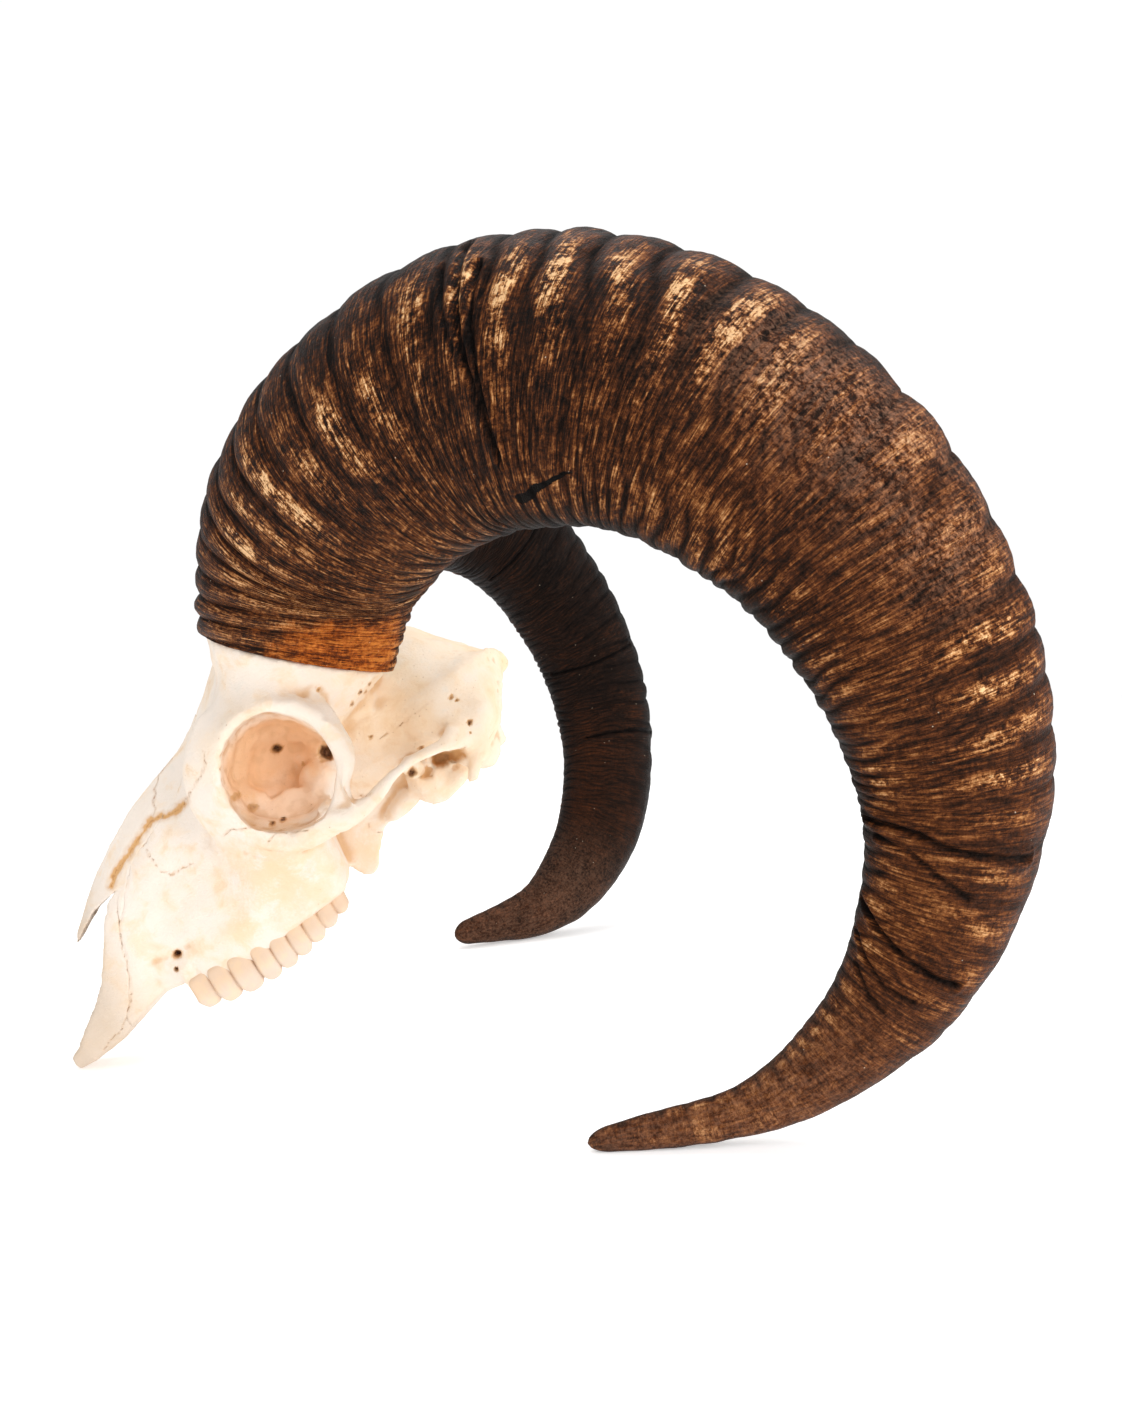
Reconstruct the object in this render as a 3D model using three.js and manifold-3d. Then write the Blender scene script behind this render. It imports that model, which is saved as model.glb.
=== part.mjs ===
// Skull of a mouflon ram with both horns, without the lower jaw, at life size.
// Millimetres, +Z up. The muzzle points along -X and the animal's left side is -Y.
// The bones are drawn in the skull's own frame: x runs back along the palate from
// the front tip of the muzzle, z is up from the palate, y is sideways. One group
// then tips the whole skull into the way it rests on a table.
import * as THREE from "three";
import { mergeVertices } from "three/addons/utils/BufferGeometryUtils.js";
import Module from "manifold-3d";

const wasm = await Module();
wasm.setup();

// ---------------------------------------------------------------- driving sizes

const gap = 0.3; // open seam between two bones
// At rest the skull stands on the muzzle tip and the undersides of both horns.
const restTilt = 27.452; // degrees that the muzzle is tipped down
const restRoll = 0.502; // degrees that it leans to its right, because the right horn hangs lower
const restPlace = { x: -152.85, y: 2.436, z: 2.936 }; // the muzzle's place over the footprint's centre

const boneColour = 0xe6d9c3;
const nasalColour = 0xe9dcc4;
const hornColour = 0x6b4a2c;

// Centre of the horns' curl in the side view.
const curl = { x: 214, z: 24 };
// Eleven stations at equal steps along each horn: angle and distance from the curl's
// centre, distance from the midline, and half the front-to-back thickness.
const leftHorn = [
  { turn: 126.6, reach: 90.8, spread: 40, depth: 38 },
  { turn: 106.1, reach: 104.7, spread: 74, depth: 41.9 },
  { turn: 89.7, reach: 111.5, spread: 118, depth: 43.5 },
  { turn: 70.5, reach: 112.7, spread: 160, depth: 44.3 },
  { turn: 48.8, reach: 103, spread: 196, depth: 41.7 },
  { turn: 22.1, reach: 90.3, spread: 220, depth: 36.9 },
  { turn: -10.1, reach: 87.6, spread: 228, depth: 32.2 },
  { turn: -41.4, reach: 98.7, spread: 222, depth: 26.5 },
  { turn: -68.6, reach: 111.4, spread: 208, depth: 18.6 },
  { turn: -93.7, reach: 117.9, spread: 192, depth: 8.9 },
  { turn: -120.2, reach: 118.9, spread: 178, depth: 3.2 },
];
const rightHorn = [
  { turn: 127.6, reach: 90.6, spread: 40, depth: 38.4 },
  { turn: 105.9, reach: 103.6, spread: 74, depth: 40.6 },
  { turn: 87.9, reach: 113.8, spread: 118, depth: 39.8 },
  { turn: 68.4, reach: 126.3, spread: 160, depth: 38 },
  { turn: 48, reach: 123.6, spread: 196, depth: 35.1 },
  { turn: 23.8, reach: 108.1, spread: 220, depth: 31.7 },
  { turn: -6, reach: 99.2, spread: 228, depth: 29.8 },
  { turn: -37.4, reach: 101.3, spread: 222, depth: 27.7 },
  { turn: -66.1, reach: 110.4, spread: 208, depth: 25.2 },
  { turn: -92.1, reach: 117.2, spread: 192, depth: 17 },
  { turn: -120.4, reach: 117.2, spread: 178, depth: 5.4 },
];
const horn = {
  sides: 12,
  ribs: 29,
  flatness: 0.8, // sideways thickness over front-to-back thickness
  ribHeight: 1.3,
  smoothFrom: 0.86, // the tip beyond this carries no ribs
  baseSlope: 0.2, // how far the base dips towards its outer side, rise over run
};

// Cross-sections of the face, from the muzzle tip back over the eyes and under the
// horns. Each lists [half-width, height] from the midline on top to the midline below.
const faceSections = [
  { x: -1, ring: [[0, 5], [3, 4.6], [6, 4], [7.5, 2.5], [7.5, 0], [5, -2.6], [0, -2.6]] },
  { x: 7, ring: [[0, 22], [5, 19], [10, 14], [12.5, 9], [13.5, 5], [12, -2.4], [0, -1.8]] },
  { x: 22, ring: [[0, 41.5], [6.5, 39.5], [12, 28], [15.5, 17], [17, 9], [15, -0.4], [0, 0.2]] },
  { x: 34, ring: [[0, 53.2], [9, 48.2], [15, 38.5], [18, 27], [18.5, 15], [15.5, 3.6], [0, 3.8]] },
  { x: 45, ring: [[0, 62.7], [12, 52.7], [18, 44.4], [21, 33], [20.5, 20], [16.5, 6.8], [0, 6.8]] },
  { x: 55, ring: [[0, 70], [14, 56.5], [19.5, 50.3], [23.5, 37], [25, 20], [23.5, 5.6], [0, 8]] },
  { x: 67, ring: [[0, 76.8], [15, 63], [21.5, 55.3], [26.5, 41], [30.5, 22], [28.5, 1.8], [0, 8.5]] },
  { x: 78, ring: [[0, 81.2], [15.5, 68.5], [23, 57.3], [28.5, 43], [35.5, 20], [32, 0.8], [0, 8.5]] },
  { x: 88, ring: [[0, 84.5], [15.5, 72.5], [25.5, 61.3], [32.5, 45], [38.8, 18], [34, 0.4], [0, 8.5]] },
  { x: 98, ring: [[0, 88.5], [18, 78], [30.5, 67.3], [38.5, 49], [42, 26], [35.5, 0.8], [0, 8.5]] },
  { x: 108, ring: [[0, 94.7], [23, 87.2], [38.5, 76.4], [47, 56], [48.5, 31], [36.5, 1.4], [0, 8.5]] },
  { x: 118, ring: [[0, 102.6], [30, 96.6], [49, 84.5], [56, 60], [56, 34], [37, 2], [0, 8.5]] },
  { x: 127, ring: [[0, 110.2], [34, 105.2], [55, 87.7], [59, 62], [57, 35], [37, 3.4], [0, 10]] },
  { x: 132.5, ring: [[0, 114], [34, 110], [56, 89], [57, 64], [53, 40], [33, 12], [0, 13]] },
  { x: 137, ring: [[0, 116.5], [34, 113], [52, 97], [60, 85], [50, 74], [24, 60], [0, 60]] },
  { x: 147, ring: [[0, 120], [32, 117], [50, 100], [60, 85], [48, 72], [26, 58], [0, 58]] },
  { x: 160, ring: [[0, 121], [28, 118], [46, 98], [52, 82], [42, 68], [26, 56], [0, 56]] },
  { x: 173, ring: [[0, 115.5], [24, 111], [38, 94], [40, 78], [36, 62], [24, 52], [0, 52]] },
  { x: 186, ring: [[0, 97], [16, 92], [26, 80], [30, 68], [28, 60], [18, 52], [0, 52]] },
];
// Cross-sections of the braincase, from behind the eyes to the back of the head.
const braincaseSections = [
  { x: 120, ring: [[0, 90], [10, 84], [13, 74], [13, 60], [12, 44], [9, 34], [0, 30]] },
  { x: 136, ring: [[0, 98], [18, 90], [22, 76], [22, 60], [19, 46], [12, 34], [0, 30]] },
  { x: 150, ring: [[0, 106], [24, 98], [31, 84], [31, 62], [25, 44], [13, 30], [0, 26]] },
  { x: 165, ring: [[0, 110], [25, 100], [33, 82], [33.5, 60], [30, 42], [16, 28], [0, 23]] },
  { x: 180, ring: [[0, 107.8], [24, 95.8], [33, 76], [35, 56], [36, 40], [24, 26], [0, 21]] },
  { x: 194, ring: [[0, 94.4], [22, 84.4], [33, 68], [37, 52], [40, 38], [28, 24], [0, 20]] },
  { x: 206, ring: [[0, 83.6], [20, 75.6], [31, 62], [38, 50], [41, 36], [26, 24], [0, 20]] },
  { x: 216, ring: [[0, 72.2], [16, 68.2], [28, 59], [35, 49], [34, 36], [20, 29], [0, 27]] },
  { x: 225, ring: [[0, 62], [11, 60.5], [19, 56], [24, 51], [22, 44], [12, 40], [0, 39]] },
  { x: 231.5, ring: [[0, 55.5], [6, 55], [9, 53.5], [10, 51.5], [9, 49.5], [5, 48], [0, 47.5]] },
];
// Cross-sections of the skull base: the narrow beam under the braincase.
const baseSections = [
  { x: 122, ring: [[0, 40], [6, 40], [9, 34], [9, 27], [8, 20], [4, 15], [0, 14]] },
  { x: 140, ring: [[0, 46], [10, 44], [14, 36], [14, 27], [10, 18], [5, 11], [0, 10]] },
  { x: 158, ring: [[0, 48], [14, 44], [18, 36], [17, 28], [12, 21], [7, 18], [0, 17]] },
  { x: 176, ring: [[0, 48], [18, 44], [22, 36], [18, 28], [13, 22], [8, 19.5], [0, 19]] },
  { x: 200, ring: [[0, 48], [22, 44], [26, 36], [22, 27], [15, 22], [9, 19], [0, 18.5]] },
  { x: 216, ring: [[0, 50], [18, 46], [22, 36], [18, 28], [12, 23], [7, 20], [0, 20]] },
];

const orbit = { x: 130.5, y: 60, z: 60.5, long: 22.5, tall: 23.5, lean: 20, rim: 4.6 };
// Outline of the nasal bones from above: [x, half-width], and of their lower edge.
const nasalOutline = [
  [18, 9], [32, 15], [46, 19], [54, 17], [60, 14.5], [74, 15.5], [88, 16], [99, 13.5], [111, 5],
];
const nasalThickness = 4.8;
const noseWall = 2.8; // bone between the hollow of the nose and the cheek
// The opening of the nose in side view, between the nasal bones and the upper jaw.
const noseOpening = [
  [-16, 8], [-2, 2.8], [4.8, 6], [10, 11], [18, 16.6], [25.2, 22.8], [30.8, 30.2], [35.2, 37], [39, 43.8],
  [44.5, 48.8], [56, 54.2], [45, 50.6], [34, 46.6], [25, 40.6], [18.1, 35.9], [18.1, 44], [-16, 44],
];
// The seam between the front jaw bones and the upper jaw, in side view.
const premaxillaEdge = [
  [-8, -10], [26, -10], [26.5, 7], [31, 12], [36, 20], [40, 28], [42.5, 37], [46, 45], [51, 52],
  [43, 49], [34, 41], [25, 32], [-8, 24],
];
// The thin wing behind the palate, ending low in its hook, in side view.
const palateWing = [
  [130, 30], [130.5, 14], [135, 4], [138.5, 1.8], [142, 3.4], [146, 9], [153, 16.6], [162, 23.5], [162, 34],
];
// Cheek teeth on each side: three premolars and three two-lobed molars.
const teeth = [
  { x: 59.5, y: 25.5, long: 7.5, wide: 7, tip: -6.8 },
  { x: 68.4, y: 27.5, long: 8.5, wide: 9, tip: -8.8 },
  { x: 77.6, y: 29.5, long: 9, wide: 10, tip: -9.9 },
  { x: 86.2, y: 31, long: 7.6, wide: 11.5, tip: -9.8 },
  { x: 94.2, y: 31.5, long: 7.6, wide: 11.5, tip: -9.2 },
  { x: 102, y: 32, long: 7.2, wide: 12, tip: -7.6 },
  { x: 109.6, y: 32.2, long: 7.2, wide: 12, tip: -5.8 },
  { x: 116.6, y: 32.2, long: 6.4, wide: 11.5, tip: -3.8 },
  { x: 123.2, y: 32, long: 6.4, wide: 10, tip: -1.4 },
];

// ---------------------------------------------------------------- making solids

function signedVolume(vertices, faces) {
  let six = 0;
  for (let i = 0; i < faces.length; i += 3) {
    const [a, b, c] = [faces[i] * 3, faces[i + 1] * 3, faces[i + 2] * 3];
    const crossX = vertices[b + 1] * vertices[c + 2] - vertices[b + 2] * vertices[c + 1];
    const crossY = vertices[b + 2] * vertices[c] - vertices[b] * vertices[c + 2];
    const crossZ = vertices[b] * vertices[c + 1] - vertices[b + 1] * vertices[c];
    six += vertices[a] * crossX + vertices[a + 1] * crossY + vertices[a + 2] * crossZ;
  }
  return six / 6;
}

// Closed geometry to solid: shared corners merged, empty faces dropped, faces turned out.
function toSolid(geometry) {
  const bare = geometry.clone();
  bare.deleteAttribute("normal");
  bare.deleteAttribute("uv");
  const merged = mergeVertices(bare, 1e-4);
  const vertices = new Float32Array(merged.attributes.position.array);
  const faces = [];
  const index = merged.index.array;
  for (let i = 0; i < index.length; i += 3) {
    const [a, b, c] = [index[i], index[i + 1], index[i + 2]];
    if (a !== b && b !== c && a !== c) {
      faces.push(a, b, c);
    }
  }
  if (signedVolume(vertices, faces) < 0) {
    faces.reverse();
  }
  const mesh = new wasm.Mesh({ numProp: 3, vertProperties: vertices, triVerts: new Uint32Array(faces) });
  return new wasm.Manifold(mesh);
}

function toGeometry(solid) {
  const mesh = solid.getMesh();
  const geometry = new THREE.BufferGeometry();
  geometry.setAttribute("position", new THREE.BufferAttribute(new Float32Array(mesh.vertProperties), 3));
  geometry.setIndex(new THREE.BufferAttribute(new Uint32Array(mesh.triVerts), 1));
  return geometry;
}

// Moves every vertex of a geometry by a function of its place.
function reshape(geometry, place) {
  const position = geometry.attributes.position;
  const point = new THREE.Vector3();
  for (let i = 0; i < position.count; i += 1) {
    point.fromBufferAttribute(position, i);
    const moved = place(point);
    position.setXYZ(i, moved.x, moved.y, moved.z);
  }
  return geometry;
}

// A closed skin over rings: place gets how far along it is, 0 to 1, how far round, 0 to 1,
// and 0 in the middle of an end cap or 1 on the skin.
function loft(sides, steps, place) {
  const tube = new THREE.CylinderGeometry(1, 1, 1, sides, steps);
  return toSolid(reshape(tube, (point) => {
    const round = (Math.atan2(point.z, point.x) / (2 * Math.PI) + 1) % 1;
    const out = Math.hypot(point.x, point.z) > 0.5 ? 1 : 0;
    return place(0.5 - point.y, round, out);
  }));
}

// A loft through cross-sections that lie across x, each given as its right half.
function sectionLoft(sections, sides) {
  const rings = sections.map(({ x, ring }) => {
    const right = ring.map(([y, z]) => new THREE.Vector3(x, y, z));
    const left = ring.slice(1, -1).reverse().map(([y, z]) => new THREE.Vector3(x, -y, z));
    return new THREE.CatmullRomCurve3([...right, ...left], true, "catmullrom", 0.42);
  });
  const middles = sections.map(({ x, ring }) => {
    return new THREE.Vector3(x, 0, (ring[0][1] + ring[ring.length - 1][1]) / 2);
  });
  return loft(sides, sections.length - 1, (along, round, out) => {
    const k = Math.round(along * (sections.length - 1));
    return out === 1 ? rings[k].getPoint(round) : middles[k];
  });
}

// A tapering tube through points [x, y, z, half-thickness, half-height].
function tube(points, sides, steps) {
  const path = new THREE.CatmullRomCurve3(points.map((p) => new THREE.Vector3(p[0], p[1], p[2])));
  const sizes = new THREE.CatmullRomCurve3(points.map((p) => new THREE.Vector3(p[3], p[4] ?? p[3], 0)));
  const up = new THREE.Vector3(0, 0, 1);
  return loft(sides, steps, (along, round, out) => {
    const ahead = path.getTangent(along);
    const across = new THREE.Vector3().crossVectors(ahead, up).normalize();
    const rise = new THREE.Vector3().crossVectors(across, ahead).normalize();
    const size = sizes.getPoint(along);
    const angle = round * 2 * Math.PI;
    const point = path.getPoint(along);
    point.addScaledVector(across, Math.cos(angle) * size.x * out);
    point.addScaledVector(rise, Math.sin(angle) * size.y * out);
    return point;
  });
}

// An ellipsoid, given its middle, three half-sizes and a turn about the y axis in degrees.
function pebble(middle, half, lean = 0, detail = 10) {
  const ball = new THREE.SphereGeometry(1, detail, Math.round(detail * 0.7));
  ball.rotateX(Math.PI / 2);
  ball.scale(half[0], half[1], half[2]);
  ball.rotateY(THREE.MathUtils.degToRad(lean));
  ball.translate(middle[0], middle[1], middle[2]);
  return toSolid(ball);
}

// A flat outline in the side view, given as [x, z], stretched from y = from to y = to.
function sidePlate(outline, from, to) {
  const shape = new THREE.Shape(outline.map(([x, z]) => new THREE.Vector2(x, z)));
  const plate = new THREE.ExtrudeGeometry(shape, { depth: to - from, bevelEnabled: false });
  return toSolid(reshape(plate, (p) => new THREE.Vector3(p.x, p.z + from, p.y)));
}

function joined(solids) {
  return solids.reduce((whole, solid) => whole.add(solid));
}

const bothSides = [-1, 1];

// ---------------------------------------------------------------- horns

// Centre line of a horn in the skull's frame, with its two cross directions and depth.
function hornPath(stations, side) {
  const points = stations.map(({ turn, reach, spread }) => {
    const angle = THREE.MathUtils.degToRad(turn);
    return new THREE.Vector3(curl.x + reach * Math.cos(angle), side * spread, curl.z + reach * Math.sin(angle));
  });
  const path = new THREE.CatmullRomCurve3(points, false, "catmullrom", 0.5);
  const depths = new THREE.CatmullRomCurve3(stations.map(({ depth }) => new THREE.Vector3(depth, 0, 0)));
  return (along) => {
    const middle = path.getPoint(along);
    const ahead = path.getTangent(along);
    const outward = new THREE.Vector3(ahead.z, 0, -ahead.x).normalize().negate();
    const onward = new THREE.Vector3(ahead.x, 0, ahead.z).normalize();
    const level = new THREE.Vector3(0, -1, 0).addScaledVector(onward, side * horn.baseSlope).normalize();
    const square = new THREE.Vector3().crossVectors(ahead, outward).normalize();
    const aside = level.lerp(square, THREE.MathUtils.smoothstep(along, 0, 0.14)).normalize();
    const normal = new THREE.Vector3().crossVectors(outward, aside).normalize();
    return { middle, normal, outward, aside, depth: depths.getPoint(along).x };
  };
}

// Outline of the horn's cross-section: an egg with its blunt end on the outside of the curl.
function hornOutline(round, depth) {
  const angle = round * 2 * Math.PI;
  const out = Math.cos(angle) * depth;
  const wide = Math.sin(angle) * depth * horn.flatness * (1 + 0.12 * Math.cos(angle));
  return { out, wide };
}

function makeHorn(stations, side) {
  const steps = horn.ribs * 2;
  const at = hornPath(stations, side);
  return loft(horn.sides, steps, (along, round, out) => {
    const k = Math.round(along * steps);
    const place = at(along);
    const fade = 1 - THREE.MathUtils.smoothstep(along, horn.smoothFrom - 0.12, horn.smoothFrom);
    const front = 0.55 + 0.45 * Math.cos(round * 2 * Math.PI);
    const rib = (k % 2 === 1 ? 1 : -1) * horn.ribHeight * fade * (0.35 + 0.65 * front);
    const edge = hornOutline(round, k === steps ? place.depth * 0.55 : place.depth + rib);
    place.middle.addScaledVector(place.outward, edge.out * out);
    place.middle.addScaledVector(place.aside, edge.wide * out);
    return place.middle;
  });
}

// The bony core that carries a horn: the same outline, from inside the head to the horn.
function makeCore(stations, side, grow, from, to) {
  const base = hornPath(stations, side)(0);
  return loft(horn.sides, 2, (along, round, out) => {
    const edge = hornOutline(round, base.depth + grow);
    const point = base.middle.clone();
    point.addScaledVector(base.normal, from + (to - from) * along);
    const squeeze = 1 - 0.4 * (1 - along);
    point.addScaledVector(base.outward, edge.out * out * squeeze);
    point.addScaledVector(base.aside, edge.wide * out * squeeze);
    return point;
  });
}

// A smooth sleeve round the first part of a horn, to keep the head clear of it.
function makeSleeve(stations, side, clear) {
  const at = hornPath(stations, side);
  const last = 0.22;
  return loft(horn.sides, 8, (along, round, out) => {
    const place = at(along * last);
    if (along === 0) {
      place.middle.addScaledVector(place.normal, -gap);
    }
    const edge = hornOutline(round, place.depth + horn.ribHeight + clear);
    place.middle.addScaledVector(place.outward, edge.out * out);
    place.middle.addScaledVector(place.aside, edge.wide * out);
    return place.middle;
  });
}

// ---------------------------------------------------------------- bones of the head

function makeOrbitRim(side) {
  const rimPath = (round) => {
    const angle = round * 2 * Math.PI;
    const lean = THREE.MathUtils.degToRad(orbit.lean);
    const along = Math.cos(angle) * (orbit.long + 1.5);
    const rise = Math.sin(angle) * (orbit.tall + 1.5);
    const inward = 3 * Math.cos(angle) + 2 * Math.sin(angle);
    return new THREE.Vector3(
      orbit.x + along * Math.cos(lean) + rise * Math.sin(lean),
      side * (orbit.y + inward - (Math.cos(angle) < 0 ? 4 * Math.cos(angle) ** 2 : 0)),
      orbit.z - along * Math.sin(lean) + rise * Math.cos(lean),
    );
  };
  const ring = new THREE.TorusGeometry(1, 0.2, 5, 16);
  return toSolid(reshape(ring, (p) => {
    const round = (Math.atan2(p.y, p.x) / (2 * Math.PI) + 1) % 1;
    const middle = rimPath(round);
    const ahead = rimPath(round + 0.01).sub(rimPath(round - 0.01)).normalize();
    const flat = new THREE.Vector3(0, side, 0);
    const outward = new THREE.Vector3().crossVectors(ahead, flat).normalize();
    const rise = (Math.hypot(p.x, p.y) - 1) / 0.2;
    middle.addScaledVector(outward, rise * orbit.rim);
    middle.addScaledVector(flat, (p.z / 0.2) * orbit.rim * 1.1);
    return middle;
  }));
}

function makeOrbitHollow(side) {
  const hollow = pebble([0, 0, 0], [orbit.long - 2.4, 40, orbit.tall - 2.4], orbit.lean, 11);
  const deep = pebble([orbit.x + 2, side * 40, orbit.z], [20, 22, 20], orbit.lean, 7);
  return hollow.translate([orbit.x, side * (orbit.y + 8), orbit.z]).add(deep);
}

function makeArch(side) {
  const y = (v) => side * v;
  const cheekbone = tube([
    [106, y(44), 27, 2, 3], [120, y(58), 33, 4, 5.5], [136, y(65), 35.5, 3.4, 5.2], [150, y(66), 33.5, 3, 4.6],
    [165, y(66), 33.5, 2.6, 3.8], [180, y(62), 35.5, 2.8, 4], [190, y(54), 36.5, 4, 5], [197, y(40), 36, 6, 7],
  ], 6, 10);
  const postorbitalBar = tube([
    [150, y(50), 92, 5, 6], [154.5, y(58), 78, 3.6, 4.6], [156.5, y(62), 64, 3, 4.4], [154, y(64.5), 50, 3, 4.4],
    [149, y(65.5), 36, 3.4, 5],
  ], 6, 5);
  return joined([cheekbone, postorbitalBar]);
}

function makeRearParts(side) {
  const y = (v) => side * v;
  return joined([
    pebble([204, y(14), 23.5], [9, 8.5, 9], 25, 7), // occipital condyle
    pebble([180, y(24), 25.2], [11, 8, 11.6], 0, 8), // ear capsule
    tube([[178, y(26), 32, 5], [175, y(36), 33, 4.6], [173.5, y(46), 33.5, 4.2]], 7, 2), // ear tube
    tube([
      [211, y(34), 42, 7, 6], [203.5, y(37), 31, 5, 5], [196.5, y(38), 20, 3.6, 4], [192, y(37.5), 10, 1.8, 2.6],
    ], 6, 4), // paracondylar process
    tube([[190, y(32), 52, 9, 8], [194, y(38), 42, 6, 7], [199, y(40), 30, 3, 4]], 6, 3), // mastoid
    tube([
      [182, y(34), 56, 2, 3], [196, y(38), 56.5, 2.6, 3.4], [210, y(36.5), 58, 2.6, 3.4], [221, y(26), 58, 2.6, 3.2],
      [229, y(13), 55.5, 2.6, 3.2], [232.5, y(2), 52.5, 2.6, 3],
    ], 6, 7), // nuchal crest
    sidePlate(palateWing, Math.min(y(10.8), y(13.6)), Math.max(y(10.8), y(13.6))),
  ]);
}

function makeTooth({ x, y, long, wide, tip }, side) {
  const crown = new THREE.CylinderGeometry(0.5, 0.54, 1, 6, 1);
  crown.rotateX(Math.PI / 2);
  return toSolid(reshape(crown, (p) => {
    const low = p.z > 0 ? 0 : 1;
    const bevel = low === 1 && Math.hypot(p.x, p.y) > 0.2 ? Math.sign(p.y * side) * 1.2 : 0;
    const square = 1 / Math.max(Math.abs(p.x), Math.abs(p.y), 0.36) * 0.42;
    const z = low === 0 ? 14 : tip - bevel;
    return new THREE.Vector3(x + p.x * long * square * 1.34, side * y + p.y * wide * square, z);
  }));
}

// Everything above a surface 4 mm under the ridge of the nose, inside the nasal outline.
function makeNasalBlock(side, grow, from) {
  const heightAt = (x) => {
    const rows = faceSections;
    let k = 1;
    while (k < rows.length - 1 && rows[k].x < x) {
      k += 1;
    }
    const [a, b] = [rows[k - 1], rows[k]];
    const mix = THREE.MathUtils.clamp((x - a.x) / (b.x - a.x), 0, 1);
    const blend = (i, j) => a.ring[i][j] + (b.ring[i][j] - a.ring[i][j]) * mix;
    return { top: blend(0, 1), edge: blend(1, 1), wide: blend(1, 0) };
  };
  const steps = nasalOutline.length - 1;
  return loft(4, steps, (along, round, out) => {
    const k = Math.round(along * steps);
    const [x, half] = nasalOutline[k];
    const { top, edge, wide } = heightAt(x);
    const outer = half + grow;
    const inner = from;
    const z = (y) => top + (edge - top) * (y / wide) ** 1.6;
    const shift = k === 0 ? -grow : k === steps ? grow : 0;
    const corner = Math.round(round * 4) % 4;
    const lower = nasalThickness + grow;
    const corners = [
      [outer, 30], [inner, 30], [inner, z(inner) - top - lower], [outer, z(outer) - top - lower],
    ];
    const [y, dz] = out === 1 ? corners[corner] : [(outer + inner) / 2, 0];
    return new THREE.Vector3(x + shift, side * y, top + dz);
  });
}

function makePremaxillaBlock(side, grow, from) {
  const outline = premaxillaEdge.map(([x, z], i) => [x + (i > 0 ? grow : 0), z + (i > 7 ? grow : 0)]);
  return side < 0 ? sidePlate(outline, -60, -from) : sidePlate(outline, from, 60);
}

// The hollow of the nose: a tunnel that follows the face and leaves thin walls.
function makeNoseHollow() {
  const sections = faceSections.slice(0, 9).map(({ x, ring }) => {
    const top = ring[0][1] - nasalThickness - noseWall * 0.4;
    const floor = ring[6][1] + noseWall * 1.7;
    const inner = ring.map(([y, z]) => [Math.max(y - noseWall, 0), THREE.MathUtils.clamp(z, floor, top)]);
    return { x: x < 0 ? -5 : x, ring: inner };
  });
  sections[0].ring = sections[0].ring.map(([y]) => [y, 6 + y * 0.1]);
  sections[0].ring[0][1] = 9;
  return sectionLoft(sections, 10);
}

function makePalateHollows() {
  const vault = sectionLoft([
    { x: 56, ring: [[0, 9.5], [8, 9], [14, 6], [17, 0], [17, -6], [8, -12], [0, -12]] },
    { x: 72, ring: [[0, 10.5], [12, 10], [18, 6.5], [21.5, 0], [21.5, -6], [12, -12], [0, -12]] },
    { x: 136, ring: [[0, 12], [14, 11], [20, 7.5], [24, 1], [24, -6], [14, -12], [0, -12]] },
  ], 10);
  const innerNostrils = sectionLoft([
    { x: 108, ring: [[0, 24], [4, 23], [7, 20], [8, 14], [8, 9], [6, 0], [0, 0]] },
    { x: 122, ring: [[0, 38], [7, 36], [9.5, 28], [9.5, 18], [9.5, 10], [8, 0], [0, 0]] },
    { x: 137, ring: [[0, 30], [8, 28], [10, 22], [10, 14], [10, 8], [8, 0], [0, 0]] },
  ], 10);
  const incisiveHoles = bothSides.map((side) => {
    return tube([[9, side * 5, 2, 2.2, 8], [20, side * 6, 4, 3, 8], [31, side * 5.5, 6, 2, 8]], 6, 3);
  });
  return joined([vault, innerNostrils, ...incisiveHoles]);
}

function makeHead() {
  const nearTeeth = teeth.flatMap((tooth) => bothSides.map((side) => makeTooth(tooth, side)));
  const bulk = joined([
    sectionLoft(faceSections, 20),
    sectionLoft(braincaseSections, 12),
    sectionLoft(baseSections, 12),
    makeCore(leftHorn, -1, -2.5, -34, -gap),
    makeCore(rightHorn, 1, -2.5, -34, -gap),
  ]);
  const hollowed = bothSides.reduce((solid, side) => solid.subtract(makeOrbitHollow(side)), bulk)
    .subtract(makeNoseHollow())
    .subtract(makePalateHollows())
    .subtract(sidePlate(noseOpening, -60, 60))
    .subtract(pebble([214, 0, 29], [16, 8, 8], 10, 12));
  const dressed = joined([
    hollowed,
    ...bothSides.map(makeOrbitRim),
    ...bothSides.map(makeArch),
    ...bothSides.map(makeRearParts),
    ...nearTeeth,
    pebble([231.2, 0, 50.2], [4.6, 5, 5], 0, 8), // bump at the back of the head
  ]);
  return dressed
    .subtract(makeSleeve(leftHorn, -1, 0.4))
    .subtract(makeSleeve(rightHorn, 1, 0.4))
    .subtract(sidePlate([[-4, -6], [12, -6], [13, 12], [-4, 12]], -0.9, 0.9));
}

// ---------------------------------------------------------------- the ram skull

const head = makeHead();
const [leftNasalBlock, rightNasalBlock] = bothSides.map((side) => makeNasalBlock(side, 0, gap / 2));
const [leftNasalCut, rightNasalCut] = bothSides.map((side) => makeNasalBlock(side, gap, 0));
const [leftFrontBlock, rightFrontBlock] = bothSides.map((side) => makePremaxillaBlock(side, 0, gap / 2));
const [leftFrontCut, rightFrontCut] = bothSides.map((side) => makePremaxillaBlock(side, gap, 0));
const nasalLeft = head.intersect(leftNasalBlock).subtract(leftFrontCut);
const nasalRight = head.intersect(rightNasalBlock).subtract(rightFrontCut);
const premaxillaLeft = head.intersect(leftFrontBlock);
const premaxillaRight = head.intersect(rightFrontBlock);
const skull = [leftNasalCut, rightNasalCut, leftFrontCut, rightFrontCut]
  .reduce((solid, cut) => solid.subtract(cut), head);

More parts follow.
